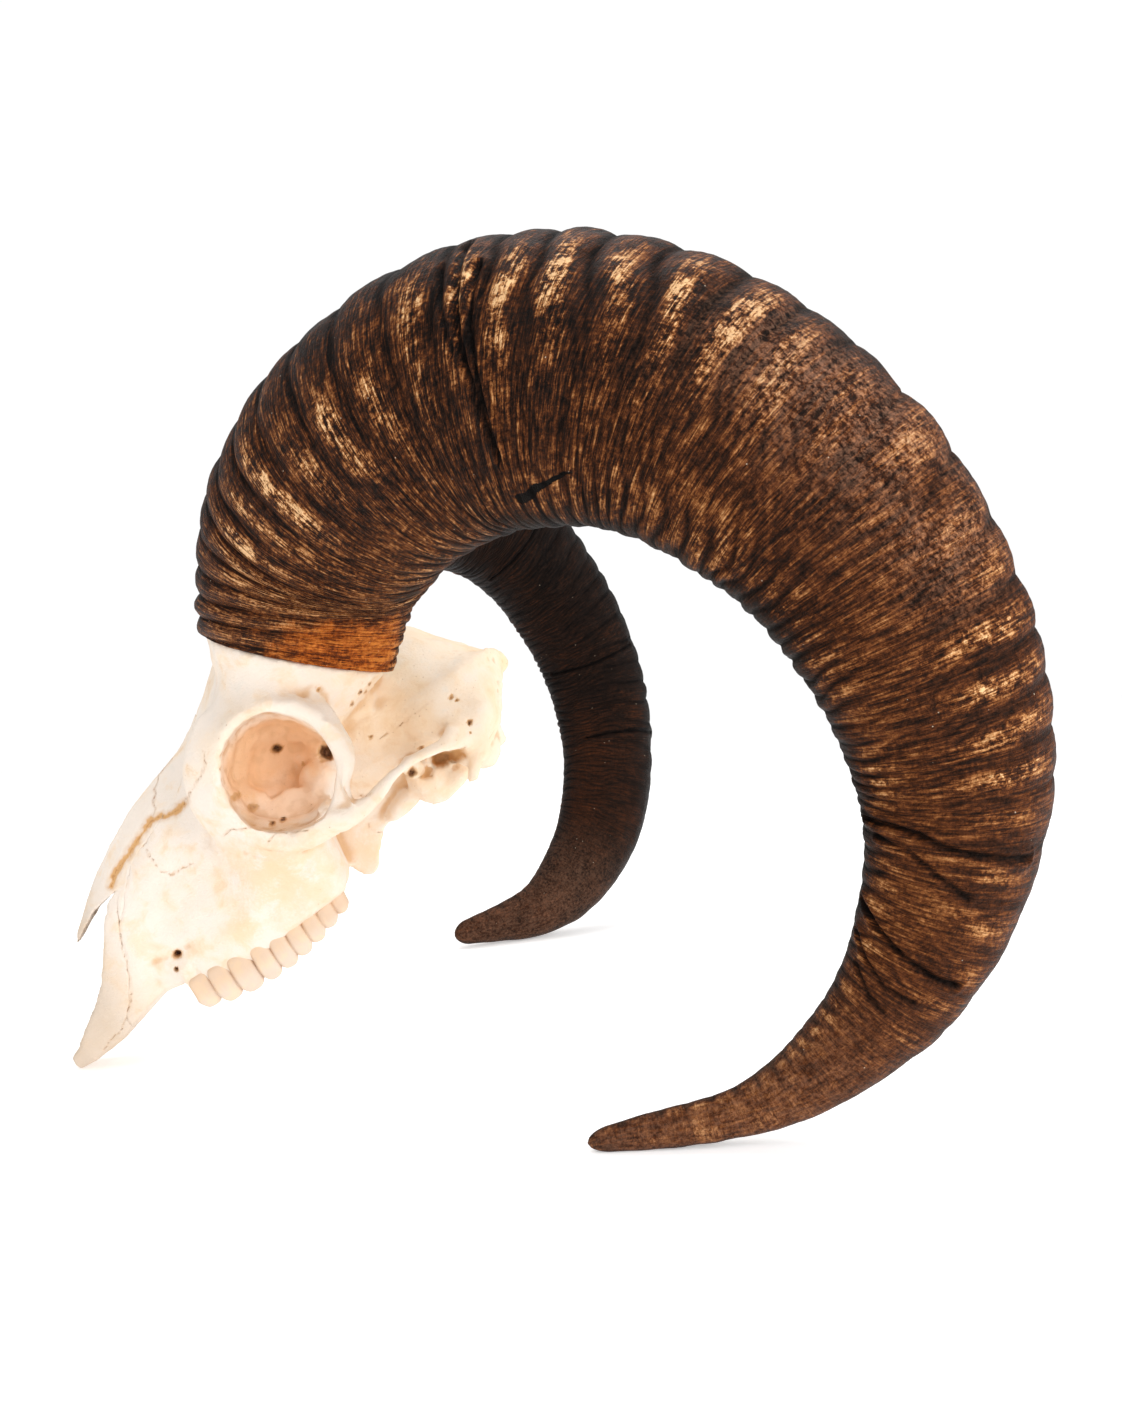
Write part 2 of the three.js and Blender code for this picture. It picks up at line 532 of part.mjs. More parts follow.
function addPiece(group, name, solid, color, roughness) {
  const material = new THREE.MeshStandardMaterial({ color, roughness, metalness: 0 });
  const mesh = new THREE.Mesh(toGeometry(solid), material);
  mesh.name = name;
  group.add(mesh);
  return mesh;
}

const ramSkull = new THREE.Group();
const tipped = new THREE.Group();
tipped.rotation.set(THREE.MathUtils.degToRad(restRoll), -THREE.MathUtils.degToRad(restTilt), 0);
tipped.position.set(restPlace.x, restPlace.y, restPlace.z);
ramSkull.add(tipped);

addPiece(tipped, "skull", skull, boneColour, 0.6);
addPiece(tipped, "nasal_left", nasalLeft, nasalColour, 0.6);
addPiece(tipped, "nasal_right", nasalRight, nasalColour, 0.6);
addPiece(tipped, "premaxilla_left", premaxillaLeft, nasalColour, 0.6);
addPiece(tipped, "premaxilla_right", premaxillaRight, nasalColour, 0.6);
addPiece(tipped, "horn_left", makeHorn(leftHorn, -1), hornColour, 0.55);
addPiece(tipped, "horn_right", makeHorn(rightHorn, 1), hornColour, 0.55);

export default ramSkull;
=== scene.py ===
# Ram skull with both horns, resting on the muzzle tip and the undersides of the horns.
# Shapes are worked out in the skull's own frame in millimetres: x back along the
# palate from the muzzle tip, y to the animal's right, z up from the palate.
import math

import bmesh
import bpy
import numpy as np
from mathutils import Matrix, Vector
from mathutils.bvhtree import BVHTree


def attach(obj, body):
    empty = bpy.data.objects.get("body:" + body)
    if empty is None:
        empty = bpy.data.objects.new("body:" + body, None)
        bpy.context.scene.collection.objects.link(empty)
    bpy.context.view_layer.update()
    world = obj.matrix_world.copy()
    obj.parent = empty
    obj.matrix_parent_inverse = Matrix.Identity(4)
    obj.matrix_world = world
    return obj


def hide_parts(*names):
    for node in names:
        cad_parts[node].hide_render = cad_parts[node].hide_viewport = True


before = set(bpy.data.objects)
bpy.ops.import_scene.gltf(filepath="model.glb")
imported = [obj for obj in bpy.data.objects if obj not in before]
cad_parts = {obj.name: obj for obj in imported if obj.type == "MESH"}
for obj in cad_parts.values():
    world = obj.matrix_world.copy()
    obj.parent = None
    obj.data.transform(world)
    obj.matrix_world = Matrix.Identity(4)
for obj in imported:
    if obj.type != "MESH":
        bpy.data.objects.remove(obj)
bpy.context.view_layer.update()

scene = bpy.context.scene

stance = {
    "tilt": 27.452,  # degrees the muzzle is tipped down
    "roll": 0.502,
    "place": (-152.85, 2.436, 2.936),
}


def stanceTurn():
    tilt = math.radians(stance["tilt"])
    roll = math.radians(stance["roll"])
    tip = np.array([[math.cos(tilt), 0, -math.sin(tilt)], [0, 1, 0], [math.sin(tilt), 0, math.cos(tilt)]])
    lean = np.array([[1, 0, 0], [0, math.cos(roll), -math.sin(roll)], [0, math.sin(roll), math.cos(roll)]])
    return lean @ tip


turned = stanceTurn()


def toWorld(points):
    return (points @ turned.T + np.array(stance["place"])) / 1000


def toSkull(points):
    return (points * 1000 - np.array(stance["place"])) @ turned


# ---- small number helpers

def smoothStep(low, high, value):
    t = np.clip((value - low) / (high - low), 0, 1)
    return t * t * (3 - 2 * t)


def hump(value, middle, width):
    return np.exp(-((value - middle) / width) ** 2)


def unitRows(rows):
    return rows / np.maximum(np.linalg.norm(rows, axis=1, keepdims=True), 1e-9)


def cornerValue(cells, seed):
    mixed = cells[:, 0] * 73856093 ^ cells[:, 1] * 19349663 ^ cells[:, 2] * 83492791 ^ seed * 2654435
    mixed = (mixed ^ mixed >> 13) * 1274126177 & 0xffffffff
    return ((mixed ^ mixed >> 16) & 0xffff) / 32767.5 - 1


def ripple(points, size, seed=0):
    # smooth lumps from -1 to 1, about size apart
    scaled = points / size
    cells = np.floor(scaled).astype(np.int64)
    part = scaled - cells
    part = part * part * (3 - 2 * part)
    total = np.zeros(len(points))
    for corner in range(8):
        step = np.array([corner & 1, corner >> 1 & 1, corner >> 2])
        weight = np.prod(np.where(step, part, 1 - part), axis=1)
        total += weight * cornerValue(cells + step, seed)
    return total


def distanceToPath(points, path):
    # distance from each point to a run of short straight pieces, in two or three dimensions
    best = np.full(len(points), 1e9)
    for start, end in zip(path[:-1], path[1:]):
        a = np.array(start, dtype=float)
        run = np.array(end) - a
        share = np.clip((points - a) @ run / (run @ run), 0, 1)
        best = np.minimum(best, np.linalg.norm(points - a - share[:, None] * run, axis=1))
    return best


# ---- mesh helpers

def readPoints(mesh):
    flat = np.empty(len(mesh.vertices) * 3)
    mesh.vertices.foreach_get("co", flat)
    return flat.reshape(-1, 3)


def writePoints(mesh, points):
    mesh.vertices.foreach_set("co", points.ravel())
    mesh.update()


def addValue(mesh, name, values):
    mesh.attributes.new(name, "FLOAT", "POINT").data.foreach_set("value", np.asarray(values, dtype=float))


def addVectors(mesh, name, vectors):
    mesh.attributes.new(name, "FLOAT_VECTOR", "POINT").data.foreach_set("vector", vectors.ravel())


def meshFrom(sketch, name):
    mesh = bpy.data.meshes.new(name)
    sketch.to_mesh(mesh)
    sketch.free()
    return mesh


def addBall(sketch, detail, shape):
    # a ball with its points moved by a rule that gives places in the skull's frame
    made = bmesh.ops.create_icosphere(sketch, subdivisions=detail, radius=1)["verts"]
    for vert, point in zip(made, toWorld(shape(np.array([vert.co for vert in made])))):
        vert.co = point


def shadeSmooth(mesh):
    mesh.polygons.foreach_set("use_smooth", [True] * len(mesh.polygons))


def addObject(name, mesh):
    piece = bpy.data.objects.new(name, mesh)
    scene.collection.objects.link(piece)
    return piece


# ---- shader helpers

def tint(red, green, blue):
    # screen colour from 0 to 255 as Blender's linear colour
    parts = [value / 255 for value in (red, green, blue)]
    return [part / 12.92 if part < 0.04045 else ((part + 0.055) / 1.055) ** 2.4 for part in parts] + [1]


class Wire:
    # a node's output that can be used in sums
    def __init__(self, finish, socket):
        self.finish = finish
        self.socket = socket

    def math(self, operation, *values):
        return self.finish.node("ShaderNodeMath", {"operation": operation}, dict(enumerate(values)))

    def __add__(self, other):
        return self.math("ADD", self, other)

    __radd__ = __add__

    def __sub__(self, other):
        return self.math("SUBTRACT", self, other)

    def __rsub__(self, other):
        return self.math("SUBTRACT", other, self)

    def __mul__(self, other):
        return self.math("MULTIPLY", self, other)

    __rmul__ = __mul__

    def absolute(self):
        return self.math("ABSOLUTE", self)

    def smaller(self, other):
        return self.math("MINIMUM", self, other)


class Finish:
    # one material and the ways to add nodes to it
    def __init__(self, name):
        self.material = bpy.data.materials.new(name)
        self.material.use_nodes = True
        self.tree = self.material.node_tree
        self.tree.nodes.clear()

    def node(self, kind, settings=None, inputs=None, output=0):
        made = self.tree.nodes.new(kind)
        for key, value in (settings or {}).items():
            if key == "stops":
                self.setStops(made.color_ramp, value)
            else:
                setattr(made, key, value)
        for key, value in (inputs or {}).items():
            if isinstance(value, Wire):
                self.tree.links.new(value.socket, made.inputs[key])
            else:
                made.inputs[key].default_value = value
        return Wire(self, made.outputs[output])

    def setStops(self, ramp, stops):
        while len(ramp.elements) < len(stops):
            ramp.elements.new(0.5)
        for element, (place, colour) in zip(ramp.elements, stops):
            element.position = place
            element.color = colour

    def value(self, name):
        return self.node("ShaderNodeAttribute", {"attribute_name": name}, output=2)

    def vector(self, name):
        return self.node("ShaderNodeAttribute", {"attribute_name": name}, output=1)

    def stretched(self, vector, scale):
        return self.node("ShaderNodeMapping", {"vector_type": "POINT"}, {"Vector": vector, "Scale": scale})

    def noise(self, vector, scale, detail=3, rough=0.55, twist=0):
        inputs = {"Vector": vector, "Scale": scale, "Detail": detail, "Roughness": rough}
        return self.node("ShaderNodeTexNoise", None, inputs | {"Distortion": twist})

    def ramp(self, value, low, high):
        # 0 below low and 1 above high, with a soft change between
        inputs = {"Value": value, "From Min": low, "From Max": high}
        return self.node("ShaderNodeMapRange", {"interpolation_type": "SMOOTHSTEP"}, inputs)

    def blend(self, share, first, second):
        settings = {"data_type": "RGBA", "clamp_factor": True}
        return self.node("ShaderNodeMix", settings, {0: share, 6: first, 7: second}, output=2)

    def coats(self, colour, layers):
        # thin coats of colour over each other, each by its own share
        for share, coat in layers:
            colour = self.blend(share, colour, coat)
        return colour

    def bump(self, strength, distance, height):
        settings = {"Strength": strength, "Distance": distance, "Height": height}
        return self.node("ShaderNodeBump", None, settings)

    def cells(self, vector, scale):
        return self.node("ShaderNodeTexVoronoi", {"feature": "F1"}, {"Vector": vector, "Scale": scale})

    def part(self, vector, axis):
        return self.node("ShaderNodeSeparateXYZ", None, {0: vector}, axis)


def plug(finish, inputs):
    surface = finish.node("ShaderNodeBsdfPrincipled", None, inputs)
    made = finish.tree.nodes.new("ShaderNodeOutputMaterial")
    finish.tree.links.new(surface.socket, made.inputs["Surface"])
    return finish.material


# ---- camera

shot = {
    "place": (-0.0527801, -0.5574032, 0.1332334),
    "turn": (90.2434, 3.8835, -10.9614),
    "lens": 33.381,
}


def addCamera():
    camera = bpy.data.cameras.new("camera")
    camera.lens = shot["lens"]
    camera.sensor_width = 36
    camera.clip_start = 0.02
    holder = addObject("camera", camera)
    holder.location = shot["place"]
    holder.rotation_euler = [math.radians(angle) for angle in shot["turn"]]
    scene.camera = holder


addCamera()
print("camera set")

# ---- horns

hornForm = {
    "curl": (214, 24),  # x and z of the curl's centre in the side view
    "flatness": 0.8,
    "baseSlope": 0.2,
    "length": 540,
    "relief": 2.1,  # from the bottom of a groove to the top of a rib
    "roundness": 0.9,  # of the girth, against a true circle
    "splitDepth": 42,  # the horn's depth where it has split
    "endRound": 0.012,  # share of the length over which the tip rounds off
    "rings": 760,
    "columns": 126,
    # by place along the horn, from base to tip
    "slant": ([0, 0.25, 0.5, 0.62, 0.7, 0.8, 1], [0.006, 0.011, 0.011, 0.004, -0.006, 0, 0]),
    # strength along the horn of the light rib crests: partly wear, partly a painted highlight
    "wornSheen": (
        [0, 0.04, 0.09, 0.16, 0.3, 0.4, 0.47, 0.55, 0.62, 0.67, 0.74, 0.85, 1],
        [0.1, 0.35, 0.6, 0.9, 1, 1, 0.8, 0.45, 0.55, 0.75, 0.4, 0.3, 0.3],
    ),
    "tone": (
        [0, 0.06, 0.14, 0.28, 0.4, 0.55, 0.75, 1],
        [0.51, 0.47, 0.395, 0.365, 0.4, 0.425, 0.43, 0.47],
    ),
    "weave": ([0, 0.3, 0.45, 0.7, 1], [1.5, 1.5, 1.1, 0.8, 0.65]),
}
# each station: turn, reach, spread, depth
leftHorn = {
    "side": -1,
    "seed": 3,
    "stations": [
        (126.6, 90.8, 40, 38), (106.1, 104.7, 74, 41.9), (89.7, 111.5, 118, 43.5),
        (70.5, 112.7, 160, 44.3), (48.8, 103, 196, 41.7), (22.1, 90.3, 220, 36.9),
        (-10.1, 87.6, 228, 32.2), (-41.4, 98.7, 222, 26.5), (-68.6, 111.4, 208, 18.6),
        (-93.7, 117.9, 192, 8.9), (-120.2, 118.9, 178, 3.2),
    ],
    # where the top of each rib lies along the horn, at the outer edge
    "ribs": [
        -0.012, 0.012, 0.034, 0.056, 0.078, 0.1, 0.124, 0.149, 0.174, 0.201, 0.229, 0.26, 0.289, 0.311,
        0.332, 0.354, 0.384, 0.408, 0.434, 0.459, 0.486, 0.52, 0.553, 0.581, 0.606, 0.631, 0.655, 0.678,
        0.701, 0.728, 0.752, 0.776, 0.798, 0.82, 0.842, 0.864, 0.886, 0.91, 0.94, 0.97, 1.0, 1.03,
    ],
    # deep creases: points along and round the horn, half width and depth in mm
    "creases": [
        ([(0.312, 0.1), (0.316, 0.16), (0.323, 0.24), (0.335, 0.32), (0.342, 0.37)], 0.8, 1.7),
        ([(0.324, 0.15), (0.327, 0.22), (0.335, 0.3), (0.341, 0.35)], 0.6, 1.4),
        ([(0.305, 0.13), (0.312, 0.2), (0.32, 0.25)], 0.7, 0.9),
        ([(0.7, 0.5), (0.7, 0.42), (0.703, 0.37), (0.71, 0.32), (0.713, 0.25), (0.716, 0.16)], 0.9, 1.6),
        ([(0.71, 0.46), (0.715, 0.38), (0.727, 0.32), (0.736, 0.26)], 0.7, 0.9),
        ([(0.757, 0.5), (0.768, 0.42), (0.777, 0.34), (0.782, 0.26), (0.782, 0.2)], 0.9, 1.5),
        ([(0.779, 0.49), (0.792, 0.42), (0.801, 0.34), (0.8, 0.26)], 0.8, 1.1),
        ([(0.8, 0.44), (0.812, 0.36), (0.815, 0.3)], 0.8, 0.8),
    ],
    "split": [(0.345, 0.437), (0.395, 0.397)],  # its two ends, along and round the horn
}
rightHorn = {
    "side": 1,
    "seed": 11,
    "stations": [
        (127.6, 90.6, 40, 38.4), (105.9, 103.6, 74, 40.6), (87.9, 113.8, 118, 39.8), (68.4, 126.3, 160, 38),
        (48, 123.6, 196, 35.1), (23.8, 108.1, 220, 31.7), (-6, 99.2, 228, 29.8), (-37.4, 101.3, 222, 27.7),
        (-66.1, 110.4, 208, 25.2), (-92.1, 117.2, 192, 17), (-120.4, 117.2, 178, 5.4),
    ],
    "ribs": [
        -0.014, 0.01, 0.033, 0.057, 0.08, 0.104, 0.127, 0.152, 0.178, 0.203, 0.23, 0.258, 0.284, 0.31, 0.335,
        0.36, 0.386, 0.411, 0.437, 0.462, 0.485, 0.51, 0.531, 0.556, 0.58, 0.604, 0.63, 0.65, 0.672, 0.694,
        0.716, 0.738, 0.758, 0.779, 0.799, 0.82, 0.842, 0.862, 0.884, 0.91, 0.94, 0.97, 1.0, 1.03,
    ],
    "creases": [
        ([(0.42, 0.1), (0.425, 0.25), (0.43, 0.4)], 0.8, 1.3),
        ([(0.69, 0.05), (0.69, 0.2), (0.695, 0.35)], 0.8, 1.3),
        ([(0.6, 0.1), (0.605, 0.28), (0.6, 0.42)], 0.8, 1.0),
    ],
    "split": [(0.2, 0.9), (0.24, 0.92)],
}


def curveThrough(values, along):
    # smooth curve through evenly spaced values, and its direction
    values = np.asarray(values, dtype=float)
    padded = np.vstack([2 * values[0] - values[1], values, 2 * values[-1] - values[-2]])
    place = along * (len(values) - 1)
    cell = np.clip(np.floor(place).astype(int), 0, len(values) - 2)
    t = (place - cell)[:, None]
    before, start, end, after = (padded[cell + k] for k in range(4))
    leave = (end - before) / 2
    arrive = (after - start) / 2
    square = 3 * (end - start) - 2 * leave - arrive
    cube = 2 * (start - end) + leave + arrive
    return start + leave * t + square * t ** 2 + cube * t ** 3, leave + 2 * square * t + 3 * cube * t ** 2


def hornFrame(spec, along):
    # centre line, the two directions of the cross-section and its size
    side = spec["side"]
    centreX, centreZ = hornForm["curl"]
    points = []
    for turn, reach, spread, _ in spec["stations"]:
        angle = math.radians(turn)
        points.append((centreX + reach * math.cos(angle), side * spread, centreZ + reach * math.sin(angle)))
    middle, ahead = curveThrough(points, along)
    depth = curveThrough([[station[3]] for station in spec["stations"]], along)[0][:, 0]
    level = np.zeros(len(along))
    outward = unitRows(np.stack([-ahead[:, 2], level, ahead[:, 0]], 1))
    onward = unitRows(np.stack([ahead[:, 0], level, ahead[:, 2]], 1))
    flat = unitRows(np.array([0, -1, 0]) + side * hornForm["baseSlope"] * onward)
    square = unitRows(np.cross(ahead, outward))
    share = smoothStep(0, 0.14, along)[:, None]
    aside = unitRows(flat * (1 - share) + square * share)
    return middle, outward, aside, depth


def straightPlace(along, turn, depth):
    # the horn's surface as if it were unrolled to a straight rod, for seamless patterns
    length = along * hornForm["length"]
    return np.stack([length, np.cos(turn) * depth, np.sin(turn) * depth * hornForm["flatness"]], 1)


def ribPattern(spec, along, turn, rod):
    # the ribs: place between two crests, crests from 0 to 1, their strength and the short inner ribs
    seed = spec["seed"]
    loose = smoothStep(0.3, 0.5, along)
    wander = (0.004 + 0.003 * loose) * ripple(rod, 30, seed) + 0.0022 * ripple(rod, 11, seed + 1)
    shifted = along - np.interp(along, *hornForm["slant"]) * (1 - np.cos(turn)) + wander
    phase = np.interp(shifted, spec["ribs"], np.arange(len(spec["ribs"])))
    nearest = np.round(phase)
    crest = np.cos(math.pi * np.abs(phase - nearest)) ** 0.75
    rng = np.random.default_rng(seed)
    strength = rng.uniform(0.55, 1.3, len(spec["ribs"]) + 2)[nearest.astype(int)]
    strength = np.clip(strength * (0.9 + 0.55 * ripple(rod, 22, seed + 7)), 0.12, 1.4)
    finePhase = phase * 2 + 0.4 * ripple(rod, 12, seed + 2)
    shortCrest = np.cos(math.pi * np.abs(finePhase - np.round(finePhase))) ** 0.8
    return phase, crest, strength, shortCrest


def cutCreases(spec, along, turn, depth, rod):
    # drying creases with a raised lip: their height, and how dark painted shade makes them
    girth = (2 * math.pi * depth * hornForm["roundness"]).mean()
    unrolled = np.stack([along * hornForm["length"], turn / (2 * math.pi) * girth], 1)
    height = np.zeros(len(along))
    cut = np.zeros(len(along))
    for points, width, deep in spec["creases"]:
        path = [(a * hornForm["length"], r * girth) for a, r in points]
        away = distanceToPath(unrolled, path) + 0.4 * ripple(rod, 5, spec["seed"] + 6)
        mark = hump(away, 0, width)
        height += 0.45 * deep * hump(away, 2.4 * width, 1.5 * width) - deep * mark
        # cut marks the crease bottoms, darkened in the finish as painted shade
        cut = np.maximum(cut, mark * min(1, deep))
    return height, cut


def hornRelief(spec, along, turn, depth, rod):
    # heights of ribs, creases and lumps, with the marks that the colours use
    seed = spec["seed"]
    around = np.arccos(np.clip(np.cos(turn), -1, 1)) / (2 * math.pi)
    lateral = -spec["side"] * np.sin(turn)
    outer = smoothStep(-0.25, 0.75, np.cos(turn))
    inner = smoothStep(0.62, 0.97, -np.cos(turn))
    middle = 1 - np.maximum(outer, inner)
    phase, crest, strength, shortCrest = ribPattern(spec, along, turn, rod)
    fade = 1 - 0.4 * smoothStep(0.38, 0.5, along) - 0.55 * smoothStep(0.62, 0.9, along)
    flank = 0.3 - 0.12 * smoothStep(0.42, 0.62, along)
    weight = (0.95 * outer + flank * middle + 0.35 * inner) * fade
    height = hornForm["relief"] * weight * strength * (crest - 0.62)
    uneven = np.clip(0.7 + 0.6 * ripple(rod, 15, seed + 8), 0.15, 1.3)
    height += 1.25 * uneven * inner * (1 - 0.8 * smoothStep(0.62, 0.85, along)) * (shortCrest - 0.6)
    lines = np.sin(math.pi * 2 * (phase * 4.3 + 2.2 * ripple(rod, 13, seed + 3)))
    lineFade = 1 - smoothStep(0.7, 0.88, along)
    height += 0.15 * lines * (0.35 + middle) * (0.3 + 0.7 * lineFade)
    rough = 0.3 * ripple(rod, 9, seed + 5) + 0.16 * ripple(rod, 5, seed + 9)
    height += 0.8 * ripple(rod, 26, seed + 4) + rough * (0.4 + outer)
    creases, cut = cutCreases(spec, along, turn, depth, rod)
    height += creases

    # the troughs between the ribs, which the finish darkens as painted shade
    groove = (1 - smoothStep(0.1, 0.62, crest)) * np.clip(outer + 0.3 * middle, 0, 1) * fade
    shortGroove = (1 - smoothStep(0.15, 0.6, shortCrest)) * inner
    # light rib crests, partly wear and partly a painted highlight on the upper, outward side
    wornSheen = np.interp(along, *hornForm["wornSheen"]) * hump(around, 0.205, 0.085)
    wornSheen = wornSheen * (0.12 + 0.88 * smoothStep(-0.2, 0.4, lateral))
    patchy = 0.75 + 0.8 * ripple(rod, 24, seed + 10) + 0.35 * ripple(rod, 8, seed + 11)
    gold = wornSheen * np.clip(patchy, 0, 1.3) * smoothStep(0.62, 1.0, crest) * np.clip(strength, 0.3, 1.2)
    # a painted highlight on the crests of the short inner ribs
    innerCrestSheen = 0.55 * uneven * smoothStep(0.5, 0.95, shortCrest) * inner
    gold = np.maximum(gold, innerCrestSheen * smoothStep(-0.3, 0.5, lateral))
    tone = np.interp(along, *hornForm["tone"])
    tone += 0.07 * ripple(rod, 42, seed + 20) + 0.06 * ripple(rod, 15, seed + 21)
    # painted shade in the low furrows of the fine lines that follow the ribs
    tone -= 0.09 * (0.25 + middle) * smoothStep(0.2, -0.9, lines) * (0.4 + 0.6 * lineFade)
    # painted shade along the outer and inner edges of the horn
    tone -= 0.17 * smoothStep(0.15, 0.03, around) + 0.1 * smoothStep(0.42, 0.49, around)
    # painted light on a lit band round the side, and a lighter tone from 0.62 along
    tone += 0.05 * hump(around, 0.36, 0.07) + 0.05 * smoothStep(0.62, 0.72, along)
    # painted shade on the side that faces the skull, away from the light
    tone -= 0.22 * smoothStep(0.25, -0.35, lateral)
    scuff = smoothStep(0.4, 0.47, along) * smoothStep(0.62, 0.56, along) * hump(around, 0.19, 0.085)
    scuff = scuff * smoothStep(-0.1, 0.3, lateral)
    amber = smoothStep(0.085, 0.01, along + 0.02 * ripple(rod, 20, seed + 13)) * hump(around, 0.34, 0.12)
    marks = {
        "weave": np.interp(along, *hornForm["weave"]) * (0.65 + 0.35 * smoothStep(-0.3, 0.2, lateral)),
        "gold": gold,
        "tone": tone,
        "scuff": scuff * np.clip(0.7 + 0.7 * ripple(rod, 14, seed + 12), 0, 1),
        "amber": amber * (0.25 + 0.75 * smoothStep(-0.2, 0.5, lateral)),
        "groove": np.clip(np.maximum(groove, shortGroove), 0, 1),
        "cut": cut,
        "tip": smoothStep(0.78, 0.9, along),
    }
    return height, marks


def splitPlace(spec, along, turn):
    # distance across and share along the open split, for a crisp line of painted shade
    unrolled = np.array([hornForm["length"], 2 * math.pi * hornForm["splitDepth"] * hornForm["roundness"]])
    first, last = np.array(spec["split"]) * unrolled
    size = np.linalg.norm(last - first)
    run = (last - first) / size
    place = np.stack([along, turn / (2 * math.pi)], 1) * unrolled - first
    return place @ np.array([-run[1], run[0]]), place @ run / size


def buildHorn(name, spec):
    sketch = bmesh.new()
    sketch.loops.layers.uv.new("UVMap")
    rings, columns = hornForm["rings"], hornForm["columns"]
    bmesh.ops.create_grid(sketch, x_segments=rings, y_segments=columns, size=0.5, calc_uvs=True)
    mesh = meshFrom(sketch, name)
    along, share = np.clip(readPoints(mesh)[:, :2].T + 0.5, 0, 1)
    turn = np.where(share > 0.99999, 0, share) * 2 * math.pi
    middle, outward, aside, depth = hornFrame(spec, along)
    rod = straightPlace(along, turn, depth)
    height, marks = hornRelief(spec, along, turn, depth, rod)
    past = np.clip((along - 1) / hornForm["endRound"] + 1, 0, 1)
    endRound = np.sqrt(np.clip(1 - past ** 2, 0.003, 1))
    size = (depth + height * smoothStep(1.0, 0.96, along)) * endRound
    out = np.cos(turn) * size
    wide = np.sin(turn) * size * hornForm["flatness"] * (1 + 0.12 * np.cos(turn))
    points = middle + outward * out[:, None] + aside * wide[:, None]
    writePoints(mesh, toWorld(points))
    addVectors(mesh, "rod", rod)
    marks["splitAcross"], marks["splitShare"] = splitPlace(spec, along, turn)
    for key, values in marks.items():
        addValue(mesh, key, values)
    sketch = bmesh.new()
    sketch.from_mesh(mesh)
    bmesh.ops.remove_doubles(sketch, verts=sketch.verts, dist=1e-7)
    bmesh.ops.holes_fill(sketch, edges=[edge for edge in sketch.edges if edge.is_boundary], sides=0)
    bmesh.ops.recalc_face_normals(sketch, faces=sketch.faces)
    sketch.to_mesh(mesh)
    sketch.free()
    shadeSmooth(mesh)
    horn = addObject(name, mesh)
    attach(horn, "root")
    return horn


hornLeft = buildHorn("hornLeft", leftHorn)
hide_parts("horn_left")
hornRight = buildHorn("hornRight", rightHorn)
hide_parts("horn_right")
print("horns built:", len(hornLeft.data.polygons), "faces each")

# ---- horn finish

hornLook = {
    "tones": [
        (0.0, tint(9, 5, 4)), (0.2, tint(30, 18, 12)), (0.38, tint(60, 32, 17)), (0.5, tint(95, 51, 25)),
        (0.62, tint(136, 83, 44)), (0.78, tint(192, 135, 84)), (1.0, tint(244, 198, 146)),
    ],
    "ambers": [
        (0.0, tint(40, 15, 6)), (0.35, tint(96, 44, 16)), (0.55, tint(170, 84, 27)),
        (0.8, tint(214, 128, 54)),
    ],
    "scuff": tint(168, 126, 102),
    "speck": tint(225, 205, 180),
    # near black: the painted shade inside the open split
    "split": tint(6, 4, 3),
    "gloss": 0.06,
}


